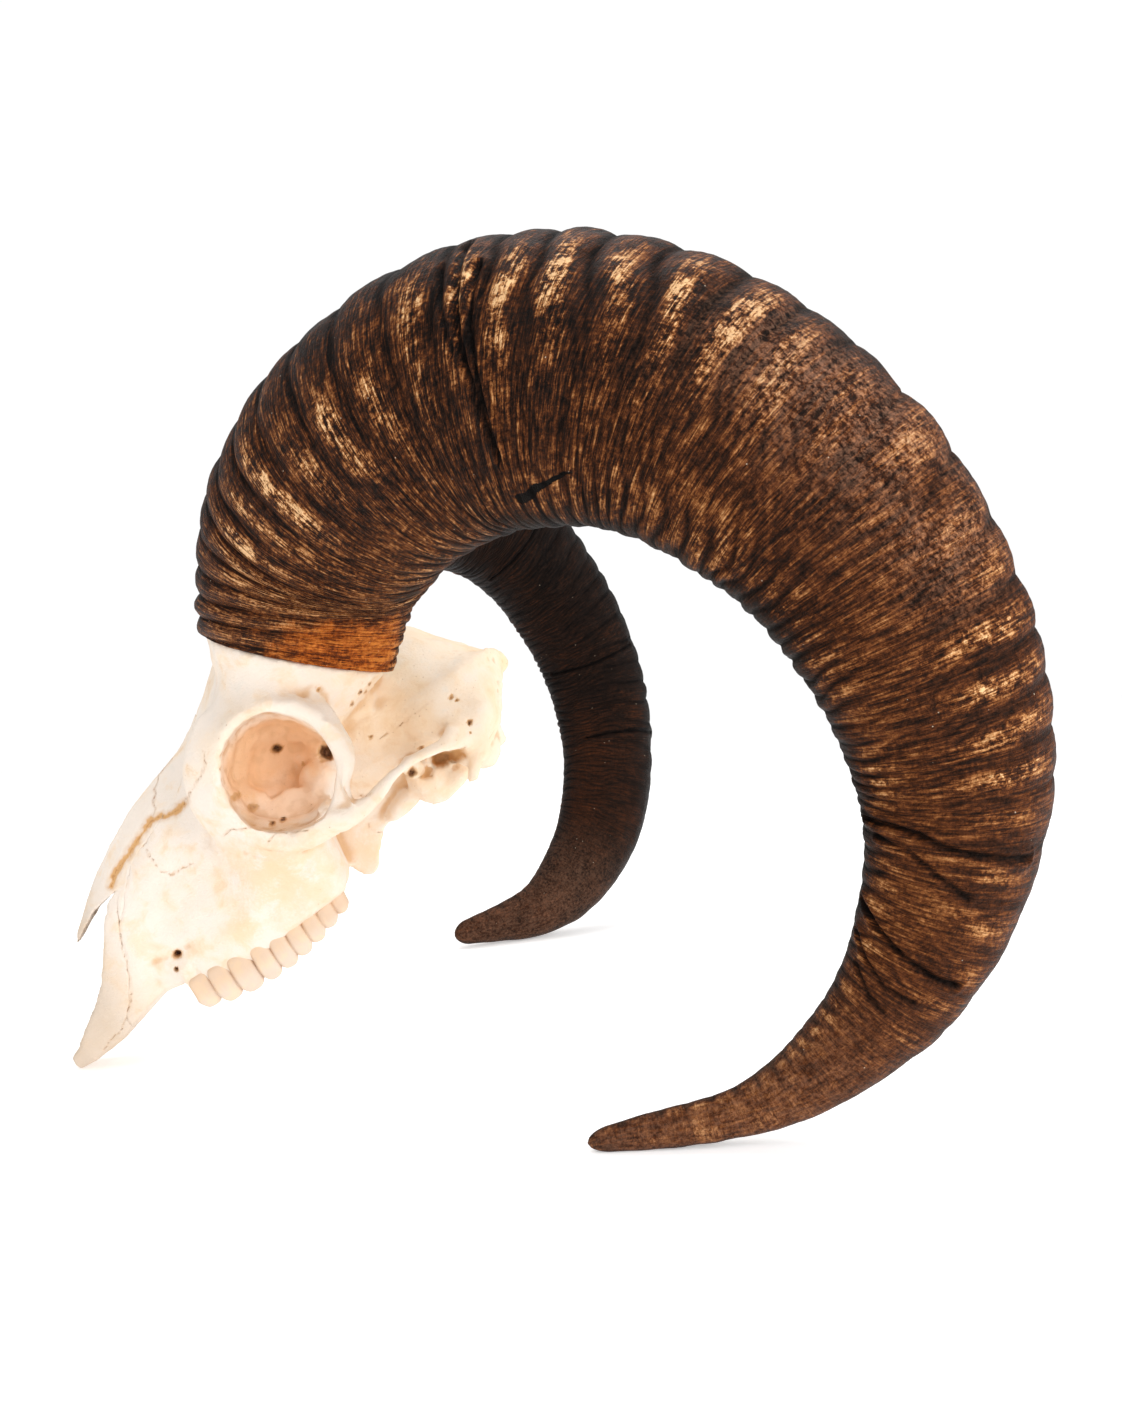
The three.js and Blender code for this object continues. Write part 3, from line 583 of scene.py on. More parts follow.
def hornFinish(name):
    finish = Finish(name)
    rod = finish.vector("rod")
    gold = finish.value("gold")
    groove = finish.value("groove")
    scuff = finish.value("scuff")
    tip = finish.value("tip")
    lengthwise = finish.noise(finish.stretched(rod, (0.07, 0.9, 0.9)), 1, 5, 0.62, 0.15)
    crosswise = finish.noise(finish.stretched(rod, (1.3, 0.09, 0.09)), 1, 5, 0.62, 0.25)
    crossFine = finish.noise(finish.stretched(rod, (3.2, 0.3, 0.3)), 1, 4, 0.6)
    grain = finish.noise(rod, 0.75, 5, 0.66, 0.5)
    clump = finish.noise(rod, 0.16, 4, 0.62, 0.3)
    crossed = (crosswise - 0.5) * (1.15 - tip * 0.8) + (lengthwise - 0.5) * (0.22 + tip * 0.8)
    fibre = crossed * 0.9 + (crossFine - 0.5) * 0.4 + (grain - 0.5) * 0.5 + (clump - 0.5) * 0.35
    # fine wrinkles where the surface is rubbed
    wrinkle = (finish.noise(rod, 0.42, 3, 0.6, 1.4) - 0.5).absolute()
    wrinkle = 1 - finish.ramp(wrinkle, 0, 0.035)
    shine = grain * 0.55 + clump * 0.6 + (crosswise - 0.5) * 0.35 + (crossFine - 0.5) * 0.25
    tone = finish.value("tone") + fibre * finish.value("weave")
    # painted highlight on the rib crests, partly wear, broken up by the grain
    tone = tone + gold * (0.06 + finish.ramp(shine, 0.46, 0.74) * 0.62)
    # painted shade in the rib grooves and in the creases
    tone = tone - groove * 0.2 - finish.value("cut") * 0.34
    tone = tone + scuff * (0.08 + (grain - 0.5) * 0.45) - wrinkle * (0.03 + gold * 0.12 + scuff * 0.16)
    brown = finish.node("ShaderNodeValToRGB", {"stops": hornLook["tones"]}, {"Fac": tone})
    amber = finish.node("ShaderNodeValToRGB", {"stops": hornLook["ambers"]}, {"Fac": tone + 0.06})
    amberShare = finish.value("amber") + (clump - 0.5) * 0.9 + (lengthwise - 0.5) * 0.4
    # the open split, painted near black as the shade inside it
    share = finish.value("splitShare")
    inside = finish.ramp(share, 0, 0.05) * (1 - finish.ramp(share, 0.9, 1.0))
    wiggle = (finish.noise(rod, 0.16, 2) - 0.5) * 3 + (grain - 0.5) * 1.4
    away = (finish.value("splitAcross") + wiggle).absolute()
    split = finish.ramp(inside * (2.3 - share * 2) - away, -0.12, 0.15) * inside
    colour = finish.coats(brown, [
        (finish.ramp(amberShare, 0.15, 0.7), amber),
        (scuff * finish.ramp(grain + clump * 0.5, 0.64, 0.9) * 0.45, hornLook["scuff"]),
        (tip * finish.ramp(grain + clump * 0.4, 0.5, 0.9) * 0.25, hornLook["scuff"]),
        (split, hornLook["split"]),
        ((1 - finish.ramp(finish.cells(rod, 0.16), 0.02, 0.04)) * 0.75, hornLook["speck"]),
    ])
    height = crossed * 0.6 + (crossFine - 0.5) * 0.35 + grain * 0.55 - wrinkle * 0.35 - split * 1.5
    return plug(finish, {
        "Base Color": colour,
        "Roughness": 0.46 + (grain - 0.5) * 0.3 + groove * 0.2 - gold * 0.08,
        "Normal": finish.bump(0.8, 0.0013, height),
        "Specular IOR Level": hornLook["gloss"],
    })


hornMaterial = hornFinish("horn")
hornLeft.data.materials.append(hornMaterial)
hornRight.data.materials.append(hornMaterial)
print("horn finish made")

# ---- bones

skullForm = {
    "voxel": 0.00124,
    "rounds": 10,
    # lumps added before the surface is made: middle, half sizes, lean in degrees, on both sides
    "lumps": [
        ((190, 36, 48), (9, 5, 12), 0),
        ((204, 31, 38), (19, 5, 10), -40),
        ((199, 34, 25), (7.5, 4.2, 9), -35),
        ((214, 25, 44), (12, 8, 8), -40),
        ((186, 22, 20), (11, 8, 5), -8),
        ((168, 14, 23), (14, 9, 5), -20),
        ((126, 31, 42), (12, 9, 10), 10),
        ((141, 25, 47), (9, 8, 9), -20),
        ((133, 36, 38), (9, 8, 5), 0),
        ((117, 36, 53), (4, 8, 8), 0),
        ((108, 42, 33), (14, 9, 7), -25),
    ],
    # the flush bone round the eye socket: widths by direction in the side view, in degrees
    "skirt": {
        "angle": [-180, -155, -130, -100, 0, 40, 62, 100, 140, 180],
        "width": [18, 15, 7, 2, 1.5, 3, 10, 12, 17, 18],
    },
    # places smoothed hard, to lose ledges left by the plain solids: middle, reach and rounds
    "ease": [
        ((110, 50, 30), 20, 90),
        ((196, 36, 58), 20, 80),
        ((214, 28, 56), 16, 60),
        ((99, 42, 62), 22, 150),
        ((104, 46, 42), 20, 150),
        ((106, 46, 82), 20, 110),
        ((126, 52, 97), 15, 90),
        ((150, 54, 90), 13, 60),
        ((137, 54, 93), 15, 120),
        ((203, 33, 34), 16, 30),
        ((216, 26, 42), 14, 40),
        ((132, 0, 112), 30, 30),
    ],
}
orbitForm = {
    "middle": (129.5, 60.8),
    # edge of the opening in the side view, from the back round over the top
    "edge": [
        (150.6, 59.5), (149.8, 64), (147.4, 70.8), (143.2, 77.2), (138.2, 82.2), (130, 83.6), (122, 81.6),
        (116, 77.4), (111.2, 70.4), (108.7, 62.4), (108.5, 54.4), (110.4, 47.8), (115, 43.2), (121.8, 39.6),
        (129.3, 37.2), (135.8, 37.4), (141, 40.8), (145.8, 46.2), (149, 50.8), (150.4, 56),
    ],
    "serration": 1.0,
}
archForm = {
    # along x: middle height of the plain arch, its real height and the share of thickness kept
    "x": [132, 142, 150, 158, 166, 174, 184, 192],
    "plain": [35, 35, 33.5, 33.5, 33.5, 34.6, 36, 36.5],
    "real": [33.6, 32.8, 32.6, 34.2, 37.4, 38.6, 37, 35.4],
    "keep": [0.9, 0.85, 0.75, 0.6, 0.55, 0.5, 0.5, 0.6],
    "starts": (130, 146),
    "ends": (186, 195),
    "barPull": 6.5,
    "flange": {"x": (186, 206), "inner": 30, "top": 24, "lift": 0.44},
}
# small holes: x, y, z, radius, depth and how much painted shade darkens them
foramina = {
    "infraorbital": (58.2, 26, 18.6, 1.6, 4.5, 0.9),
    "lower cheek": (54.6, 25, 13.6, 0.8, 3, 0.9),
    "brow": (163.6, 46, 84, 0.8, 2, 1),
    "brow small": (158.8, 48, 79.2, 0.5, 1, 0.8),
    "orbit": (132.6, 20, 67.9, 1.7, 5, 0.8),
    "optic": (149.2, 22, 56.2, 3.2, 8, 0.75),
    "orbit mid": (138.5, 22, 57.4, 0.6, 1.5, 0.8),
    "tear duct": (110.6, 44, 60.3, 1.5, 2, 0.35),
    "tear duct low": (113.2, 44, 53.2, 1.5, 2, 0.45),
    "orbit low": (116.8, 40, 44.4, 0.8, 2, 0.9),
    "orbit low second": (120.9, 40, 43.2, 0.8, 2, 0.9),
    "ear": (172.9, 47, 32.4, 1.8, 4, 0.8),
    "ear mouth": (177.8, 42, 29, 3.2, 4, 0.15),
    "behind ear": (186.5, 33, 30.4, 3.6, 7, 0.35),
    "behind ear low": (192, 35, 28.6, 3, 6, 0.3),
    "mastoid": (202.8, 36, 37.3, 0.9, 2.5, 0.9),
    "mastoid slit": (202.2, 35, 49.8, 0.9, 1.5, 0.6),
    "mastoid slit low": (203.6, 35, 47.6, 0.7, 1.5, 0.6),
    "mastoid small": (200.7, 37, 34, 0.6, 1, 0.6),
    "temple": (181.4, 35, 38.8, 0.7, 1.5, 0.9),
    "temple low": (166.5, 33, 52.7, 0.5, 1, 0.8),
    "crest pit": (171.7, 43, 70.2, 0.6, 1.2, 0.9),
    "crest pit front": (166.8, 44, 67.9, 0.6, 1.2, 0.8),
    "crest pit back": (173.8, 42, 69.2, 0.45, 1, 0.8),
    "crest pit top": (176.6, 42, 71.2, 0.5, 1, 0.8),
}
# raised or sunk strokes: points, half width and height in mm
strokes = [
    (
        [(106, 52, 46), (111, 56, 40), (117.4, 59, 35.6), (125.6, 62, 32), (135, 64, 30.2), (145, 66, 31)],
        1.7, 1.4,
    ),
    ([(104, 47, 40), (110, 50, 34), (118, 54, 30), (127, 58, 27), (138, 60, 25)], 2.6, -1.3),
    ([(111.5, 56, 44.5), (116, 58, 41.2), (122, 61, 38.6), (129, 63.5, 36.4), (136.5, 65, 37)], 0.9, -0.9),
    ([(133, 58, 26.5), (127.4, 54, 23.7), (120.9, 49, 20.4), (114, 44, 18)], 2.4, 0.9),
    ([(128, 54, 29), (119, 49, 28), (108, 43.5, 26)], 5, -1.3),
    ([(164.3, 50, 68.9), (169.8, 46, 73.6), (176, 43, 75), (184, 38, 73)], 2.0, 0.8),
    ([(160, 40, 62), (172, 36, 64), (186, 33, 62)], 6, -1.0),
    ([(225, 20, 46), (220, 25, 37), (213, 28, 28), (205, 31, 21)], 1.6, 0.9),
    ([(219, 20, 44), (214, 24, 34), (207, 28, 25)], 1.4, -0.6),
    ([(68, 27, 47), (84, 34, 50), (97, 39, 56)], 6, -0.9),
    ([(60, 26, 32), (76, 30, 36), (92, 37, 38)], 9, -0.7),
    ([(82, 36, 14), (90, 39, 17), (98, 41, 21)], 6, 1.0),
    ([(49, 21, 20), (58, 26, 18.6), (64, 28, 19)], 2.6, -1.1),
    ([(104, 36, 88), (112, 42, 93), (124, 48, 99)], 5, 0.8),
    ([(94, 12, 84), (106, 20, 93), (120, 26, 103)], 4.5, -0.6),
]
# lines in the surface as they lie in the side view, at 40 mm from the midline: x and z
viewer = {"x": 151.1, "z": 73.8, "away": 558.7, "plane": 518.7}
seams = {
    "joint": {
        "lines": [[
            (92.6, 68.4), (87.7, 66.7), (83, 68.4), (79, 68.8), (75.9, 67.7), (70.7, 65.2), (65.2, 62.2),
            (58.8, 59.7), (53.7, 55.3),
        ]],
        "depth": 0.45, "width": 0.9,
    },
    "crack": {
        "lines": [
            [(109.6, 81.5), (106, 75.6), (97.9, 71), (92.6, 68.4)],
            [(80.8, 70), (84, 76), (89.3, 81.5), (99.4, 87)],
            [
                (71.6, 60.6), (71.2, 57), (71.5, 54.3), (72.4, 50.5), (74.4, 47.8), (78.3, 47.2),
                (83.1, 46.8),
            ],
            [
                (46.6, 38.4), (45.5, 34.6), (42.7, 26), (41.2, 20.4), (37.2, 13.9), (33.1, 10.1),
                (27.1, 6.2), (19, 3.9),
            ],
            [(169.3, 50), (173, 50.4), (177.2, 50.8), (184.6, 51.6), (190.4, 52.4), (195.6, 52.9)],
            [(150.6, 36.5), (152.6, 33.8), (155.8, 33.6)],
            [(147.4, 24), (149, 20), (152.3, 16), (152.6, 11.4)],
            [(99, 50.4), (103, 50), (106.5, 47.6), (111.5, 46.8)],
            [(112, 38.6), (116, 40.8), (124, 37.8), (131, 36.8), (137, 38.2)],
            [(113, 44), (118, 38.6), (127, 34.4)],
        ],
        "depth": 0.18, "width": 0.3,
    },
}
# warmer bone: middle, reach and strength
warmPlaces = [
    ((108, 50, 26), 26, 0.8), ((104, 44, 14), 14, 0.5), ((87, 38, 15), 9, 0.8), ((12, 8, 10), 48, 0.3),
    ((60, 24, 12), 16, 0.3), ((178, 30, 24), 20, 0.5), ((214, 26, 46), 22, 0.4), ((228, 6, 54), 10, 0.9),
    ((176, 40, 58), 24, 0.45), ((150, 60, 44), 14, 0.25), ((142, 14, 12), 16, 0.6),
]
# the edge of the jaw that the teeth come out of
gumLine = {
    "x": [50, 55, 62, 70, 80, 93, 103, 111, 119, 127],
    "z": [4.6, 3.4, 1.6, 1, 0.4, -0.8, -0.6, 0.6, 3, 6.4],
    "over": 0.6,
}
smallBoneForm = {
    "voxel": 0.00075,
    "rounds": 14,
    "grow": 0.5,
    "nasalFree": 44,  # in front of this the nasals stand free of the other bones
    "nasalTip": (50, 0.17),  # where the tip begins to draw back, and by how much
}
smallBones = {
    "nasal_left": "nasalLeft",
    "nasal_right": "nasalRight",
    "premaxilla_left": "frontJawLeft",
    "premaxilla_right": "frontJawRight",
}


def mergedCopy(nodes, name):
    # the shapes of these fixed nodes as one welded mesh
    sketch = bmesh.new()
    for node in nodes:
        sketch.from_mesh(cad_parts[node].data)
    bmesh.ops.remove_doubles(sketch, verts=sketch.verts, dist=1e-6)
    if "skull" in nodes:
        addSkirt(sketch)
        addLumps(sketch)
    return meshFrom(sketch, name)


def shapeLump(ball, middle, half, lean):
    across, wide, high = (ball * half).T
    rise, run = math.sin(math.radians(lean)), math.cos(math.radians(lean))
    return np.stack([across * run + high * rise, wide, high * run - across * rise], 1) + middle


def addLumps(sketch):
    for (x, y, z), half, lean in skullForm["lumps"]:
        for side in (-1, 1):
            addBall(sketch, 3, lambda ball: shapeLump(ball, (x, side * y, z), half, lean))


def surfaceAt(tree, side, x, z, missing):
    # how far out the bone lies at this place of the side view
    start, ahead = toWorld(np.array([[x, side * 110, z], [x, side * 109, z]]))
    hit = tree.ray_cast(Vector(start), Vector(ahead - start))[0]
    return missing if hit is None else abs(toSkull(np.array([hit]))[0][1])


def addSkirt(sketch):
    # bone that runs flush up to the edge of the eye socket: three rings joined to a solid
    tree = BVHTree.FromBMesh(sketch)
    x0, z0 = orbitForm["middle"]
    count = 72
    for side in (-1, 1):
        rings = []
        for _ in range(3):
            rings.append(bmesh.ops.create_circle(sketch, segments=count, radius=1)["verts"])
        for k in range(count):
            turn = 2 * math.pi * k / count - math.pi
            across, rise = math.cos(turn), math.sin(turn)
            lip = orbitReach(turn) + 2.2
            wide = np.interp(math.degrees(turn), skullForm["skirt"]["angle"], skullForm["skirt"]["width"])
            out = lip + wide
            lipY = surfaceAt(tree, side, x0 + across * (lip + 1), z0 + rise * (lip + 1), 50)
            outY = surfaceAt(tree, side, x0 + across * out, z0 + rise * out, 40)
            outY = max(outY, lipY - 16)
            middle = lip + 0.4 * wide
            places = [(lip, lipY - 0.4), (out, outY - 0.2), (middle, min(lipY, outY) - 7)]
            for ring, (reach, y) in zip(rings, places):
                spot = np.array([[x0 + across * reach, side * y, z0 + rise * reach]])
                ring[k].co = toWorld(spot)[0]
        for first, second in ((0, 1), (1, 2), (2, 0)):
            edges = ringEdges(rings[first]) + ringEdges(rings[second])
            bmesh.ops.bridge_loops(sketch, edges=edges)
    bmesh.ops.recalc_face_normals(sketch, faces=sketch.faces)


def ringEdges(ring):
    inside = set(ring)
    near = {edge for vert in ring for edge in vert.link_edges}
    return [edge for edge in near if set(edge.verts) <= inside]


def remeshed(mesh, name, voxel):
    piece = addObject(name, mesh)
    remesh = piece.modifiers.new("remesh", "REMESH")
    remesh.mode = "VOXEL"
    remesh.voxel_size = voxel
    ready = piece.evaluated_get(bpy.context.evaluated_depsgraph_get())
    made = bpy.data.meshes.new_from_object(ready)
    made.name = name
    piece.modifiers.clear()
    piece.data = made
    bpy.data.meshes.remove(mesh)
    return piece


def edgePairs(mesh):
    pairs = np.empty(len(mesh.edges) * 2, dtype=np.int64)
    mesh.edges.foreach_get("vertices", pairs)
    return pairs.reshape(-1, 2)


def neighbourMean(points, pairs):
    total = np.zeros_like(points)
    count = np.bincount(pairs.ravel(), minlength=len(points))
    for axis in range(points.shape[1]):
        total[:, axis] += np.bincount(pairs[:, 0], points[pairs[:, 1], axis], len(points))
        total[:, axis] += np.bincount(pairs[:, 1], points[pairs[:, 0], axis], len(points))
    return total / np.maximum(count, 1)[:, None]


def relaxed(points, pairs, rounds):
    # evens out facets without shrinking: a step in, then a slightly longer step out
    for _ in range(rounds):
        points = points + 0.6 * (neighbourMean(points, pairs) - points)
        points = points - 0.61 * (neighbourMean(points, pairs) - points)
    return points


def readNormals(mesh):
    flat = np.empty(len(mesh.vertices) * 3)
    mesh.vertices.foreach_get("normal", flat)
    return flat.reshape(-1, 3) @ turned


def mirrored(points):
    # the same place on the +y side, so that each touch is written once
    both = points.copy()
    both[:, 1] = np.abs(both[:, 1])
    return both


def easeLedges(points, pairs):
    for middle, reach, rounds in skullForm["ease"]:
        away = np.linalg.norm(mirrored(points) - middle, axis=1)
        share = (1 - smoothStep(0.45, 1, away / reach))[:, None]
        for _ in range(rounds):
            points = points + 0.7 * share * (neighbourMean(points, pairs) - points)
    return points


def fromSocket(points):
    # offsets and distance from the socket's middle in the side view
    x0, z0 = orbitForm["middle"]
    offX, offZ = points[:, 0] - x0, points[:, 2] - z0
    return offX, offZ, np.hypot(offX, offZ)


def orbitReach(angle):
    # distance from the socket's middle to its edge, by direction in the side view
    edge = np.array(orbitForm["edge"]) - orbitForm["middle"]
    edgeAngle = np.arctan2(edge[:, 1], edge[:, 0])
    order = np.argsort(edgeAngle)
    return np.interp(angle, edgeAngle[order], np.hypot(*edge.T)[order], period=2 * math.pi)


def thinArch(points):
    # the cheek arch is a flat blade, thinner than its plain solid
    both = mirrored(points)
    x, y, z = both.T
    plain = np.interp(x, archForm["x"], archForm["plain"])
    real = np.interp(x, archForm["x"], archForm["real"])
    keep = np.interp(x, archForm["x"], archForm["keep"])
    share = smoothStep(*archForm["starts"], x) * (1 - smoothStep(*archForm["ends"], x))
    share = share * smoothStep(46, 54, y + 0.32 * (x - 150))
    share = share * (1 - smoothStep(6.5, 10, np.abs(z - plain)))
    share = share * smoothStep(20, 25, fromSocket(both)[2])
    points[:, 2] += share * (real + (z - plain) * keep - z)
    # the bar behind the eye narrows towards the arch
    pull = hump(z, 41, 7) * smoothStep(146, 154, x) * (1 - smoothStep(158, 168, x)) * smoothStep(48, 54, y)
    points[:, 0] -= archForm["barPull"] * pull
    # the rear flange ends higher than its plain solid
    flange = archForm["flange"]
    front, rear = flange["x"]
    low = (x > front) * (x < rear) * (y > flange["inner"]) * (z < flange["top"])
    points[:, 2] += np.where(low, flange["lift"] * (flange["top"] - z), 0)
    return points


def openOrbit(points):
    # pushes the rim out to the real edge of the opening, with a sharp uneven lip
    both = mirrored(points)
    offX, offZ, reach = fromSocket(both)
    angle = np.arctan2(offZ, offX)
    real = orbitReach(angle)
    rough = ripple(both, 1.9, 71) * orbitForm["serration"] * (0.3 + 0.7 * hump(angle, 2.3, 1.1))
    deep = smoothStep(40, 52, both[:, 1])
    wanted = (real + rough) * (0.86 + 0.14 * deep)
    near = smoothStep(30, 40, both[:, 1]) * (both[:, 1] < 75)
    push = np.maximum(wanted - reach, 0) * near
    ratio = (reach + push) / np.maximum(reach, 0.1)
    points[:, 0] += offX * (ratio - 1)
    points[:, 2] += offZ * (ratio - 1)
    return points


def sinkTeeth(points):
    # the plain teeth go back into the jaw, where finer ones stand
    both = mirrored(points)
    x, y, z = both.T
    line = np.interp(x, gumLine["x"], gumLine["z"])
    inside = (x > 52) * (x < 131) * (y > 15.5) * (z < line + gumLine["over"])
    points[:, 2] += np.where(inside, (line + gumLine["over"] + 0.1 * (z - line)) - z, 0)
    return points


def boneTexture(both, high, size):
    # low lumps of old bone, the finest this high and this long
    return 0.35 * ripple(both, 14, 31) + 0.16 * ripple(both, 5, 32) + high * ripple(both, size, 33)


def drawStrokes(points, normals):
    both = mirrored(points)
    height = boneTexture(both, 0.09, 2.6)
    for path, width, high in strokes:
        height += high * hump(distanceToPath(both, path), 0, width)
    rough = hump(both[:, 0], 224, 12) + hump(both[:, 0], 176, 7) * hump(both[:, 2], 72, 7)
    height += 0.45 * rough * ripple(both, 2.6, 34)
    inside = smoothStep(22, 18, fromSocket(both)[2]) * smoothStep(52, 46, both[:, 1])
    height += inside * (1.1 * ripple(both, 7, 35) + 0.6 * ripple(both, 3.2, 36))
    return points + normals * height[:, None]


def drillHoles(points):
    both = mirrored(points)
    # painted shade inside the holes, darkest at their middles
    holeShade = np.zeros(len(points))
    uneven = 1 + 0.25 * ripple(both, 1.6, 81) + 0.15 * ripple(both, 0.9, 82)
    for x, y, z, radius, deep, shade in foramina.values():
        away = np.hypot(both[:, 0] - x, (both[:, 2] - z) * 1.15) / radius * uneven
        near = np.abs(both[:, 1] - y) < 12
        points[:, 1] -= np.sign(points[:, 1]) * near * deep * (1 - smoothStep(0.5, 1.3, away))
        holeShade = np.maximum(holeShade, near * shade * (1 - smoothStep(0.5, 1.7, away)))
    return points, holeShade


def sideView(points):
    # where each point lies when seen from the side, on the plane 40 mm from the midline
    share = viewer["plane"] / (viewer["away"] - np.abs(points[:, 1]))
    return np.stack([
        viewer["x"] + (points[:, 0] - viewer["x"]) * share,
        viewer["z"] + (points[:, 2] - viewer["z"]) * share,
    ], 1)


def seamAway(points, name):
    both = mirrored(points)
    flat = sideView(both)
    wander = np.stack([ripple(both, 2.4, 51), ripple(both, 2.4, 52)], 1) * 0.8
    wander += np.stack([ripple(both, 1.1, 53), ripple(both, 1.1, 54)], 1) * 0.35
    nearest = np.full(len(points), 9.0)
    for line in seams[name]["lines"]:
        nearest = np.minimum(nearest, distanceToPath(flat + wander, line))
    return nearest


def cutSeams(points, normals):
    facing = smoothStep(0, 0.3, normals[:, 1] * np.sign(points[:, 1]))
    for name, spec in seams.items():
        away = seamAway(points, name)
        points = points - normals * (facing * spec["depth"] * hump(away, 0, spec["width"]))[:, None]
    return points


def hollowness(points, normals, pairs, rounds):
    # how deep each point lies below its surroundings, in mm: above 0 in hollows
    mean = points
    for _ in range(rounds):
        mean = neighbourMean(mean, pairs)
    return np.sum((mean - points) * normals, axis=1)


def flushSurface():
    # all the bones as one skin: where two of them meet, their edges are drawn level with it
    every = mergedCopy(["skull", *smallBones], "flush")
    piece = remeshed(every, "flush", skullForm["voxel"])
    mesh = piece.data
    writePoints(mesh, relaxed(readPoints(mesh), edgePairs(mesh), skullForm["rounds"]))
    sketch = bmesh.new()
    sketch.from_mesh(mesh)
    tree = BVHTree.FromBMesh(sketch)
    sketch.free()
    bpy.data.objects.remove(piece)
    bpy.data.meshes.remove(mesh)
    return tree


def drawLevel(mesh, points, grow, keepFrom=-99):
    # swollen a little, so that the gaps close, then the outside goes back to the common skin
    writePoints(mesh, points)
    keep = smoothStep(keepFrom, keepFrom + 10, toSkull(points)[:, :1])
    points = points + keep * (readNormals(mesh) @ turned.T) * grow / 1000
    found = [skin.find_nearest(Vector(point)) for point in points]
    nearest = np.array([spot[0] for spot in found])
    away = np.array([spot[3] for spot in found]) * 1000
    share = (1 - smoothStep(0.7, 1.3, away))[:, None] * keep
    return points + share * (nearest - points)


def buildSkull():
    piece = remeshed(mergedCopy(["skull"], "skullBone"), "skullBone", skullForm["voxel"])
    mesh = piece.data
    pairs = edgePairs(mesh)
    points = relaxed(readPoints(mesh), pairs, skullForm["rounds"])
    points = toSkull(drawLevel(mesh, points, 0.3))
    points = sinkTeeth(points)
    points = thinArch(points)
    points = easeLedges(points, pairs)
    points = openOrbit(points)
    for _ in range(2):
        points = points + 0.3 * (neighbourMean(points, pairs) - points)
    writePoints(mesh, toWorld(points))
    points = drawStrokes(points, readNormals(mesh))
    writePoints(mesh, toWorld(points))
    normals = readNormals(mesh)
    points = cutSeams(points, normals)
    points, hole = drillHoles(points)
    writePoints(mesh, toWorld(points))
    finishBone(piece, points, pairs, hole)
    return piece


def finishBone(piece, points, pairs, hole):
    mesh = piece.data
    mesh.update()
    normals = readNormals(mesh)
    both = mirrored(points)
    addVectors(mesh, "place", both)
    warmth = np.zeros(len(points))
    for middle, reach, strong in warmPlaces:
        warmth = np.maximum(warmth, strong * hump(np.linalg.norm(both - middle, axis=1), 0, reach))
    marks = {
        "joint": seamAway(points, "joint"),
        "crack": seamAway(points, "crack"),
        "facing": normals[:, 1] * np.sign(points[:, 1]),
        "hole": hole,
        "warmth": warmth,
        # how hollow each point is, for the tan of the hollows: partly stain, partly painted shade
        "nook": hollowness(points, normals, pairs, 3),
        "dip": hollowness(points, normals, pairs, 40),
        "orbit": (1 - smoothStep(18, 22.5, fromSocket(both)[2])) * (both[:, 1] < 56),
    }
    for key, values in marks.items():
        addValue(mesh, key, values)
    shadeSmooth(mesh)


def shortenNasal(points):
    # draws the free tip back along its own slope
    start, share = smallBoneForm["nasalTip"]
    back = np.maximum(start - points[:, :1], 0)
    return points + share * back * (1, 0, 1)


def buildSmallBone(node, name):
    piece = remeshed(mergedCopy([node], name), name, smallBoneForm["voxel"])
    mesh = piece.data
    pairs = edgePairs(mesh)
    points = relaxed(readPoints(mesh), pairs, smallBoneForm["rounds"])
    free = {"keepFrom": smallBoneForm["nasalFree"]} if "nasal" in node else {}
    points = toSkull(drawLevel(mesh, points, smallBoneForm["grow"], **free))
    writePoints(mesh, toWorld(points))
    normals = readNormals(mesh)
    both = mirrored(points)
    points = points + normals * (0.05 + boneTexture(both, 0.07, 2.4))[:, None]
    if "nasal" in node:
        points = shortenNasal(points)
    points = cutSeams(points, normals)
    writePoints(mesh, toWorld(points))
    finishBone(piece, points, pairs, np.zeros(len(points)))
    return piece


def placeBone(piece, node):
    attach(piece, "root")
    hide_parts(node)


skin = flushSurface()
skullBone = buildSkull()
placeBone(skullBone, "skull")
bones = [skullBone]
for node, name in smallBones.items():
    bone = buildSmallBone(node, name)
    placeBone(bone, node)
    bones.append(bone)
print("bones built:", {piece.name: len(piece.data.polygons) for piece in bones})

# ---- teeth

toothForm = {
    # x, y, length, width and lowest point of each lobe, then how far it leans
    "lobes": [
        (59.8, 26, 10.4, 8, -6.6, 4), (68.2, 28, 10.8, 9.5, -8.6, 3), (77.4, 30, 11.6, 10.5, -9.5, 1),
        (86.4, 31.4, 9.6, 12, -9.6, 0), (94.2, 32, 9.4, 12, -9, -1),
        (101.8, 32.4, 9.2, 12.4, -7.8, -3), (109.2, 32.6, 9, 12.2, -6.2, -5),
        (116.2, 32.6, 8.8, 11.8, -4, -8), (122.8, 32.2, 8, 10.4, -1.7, -12),
    ],
    "top": 8,
    "square": 0.5,  # 1 is a ball, 0 a box
    "uneven": 0.12,
}


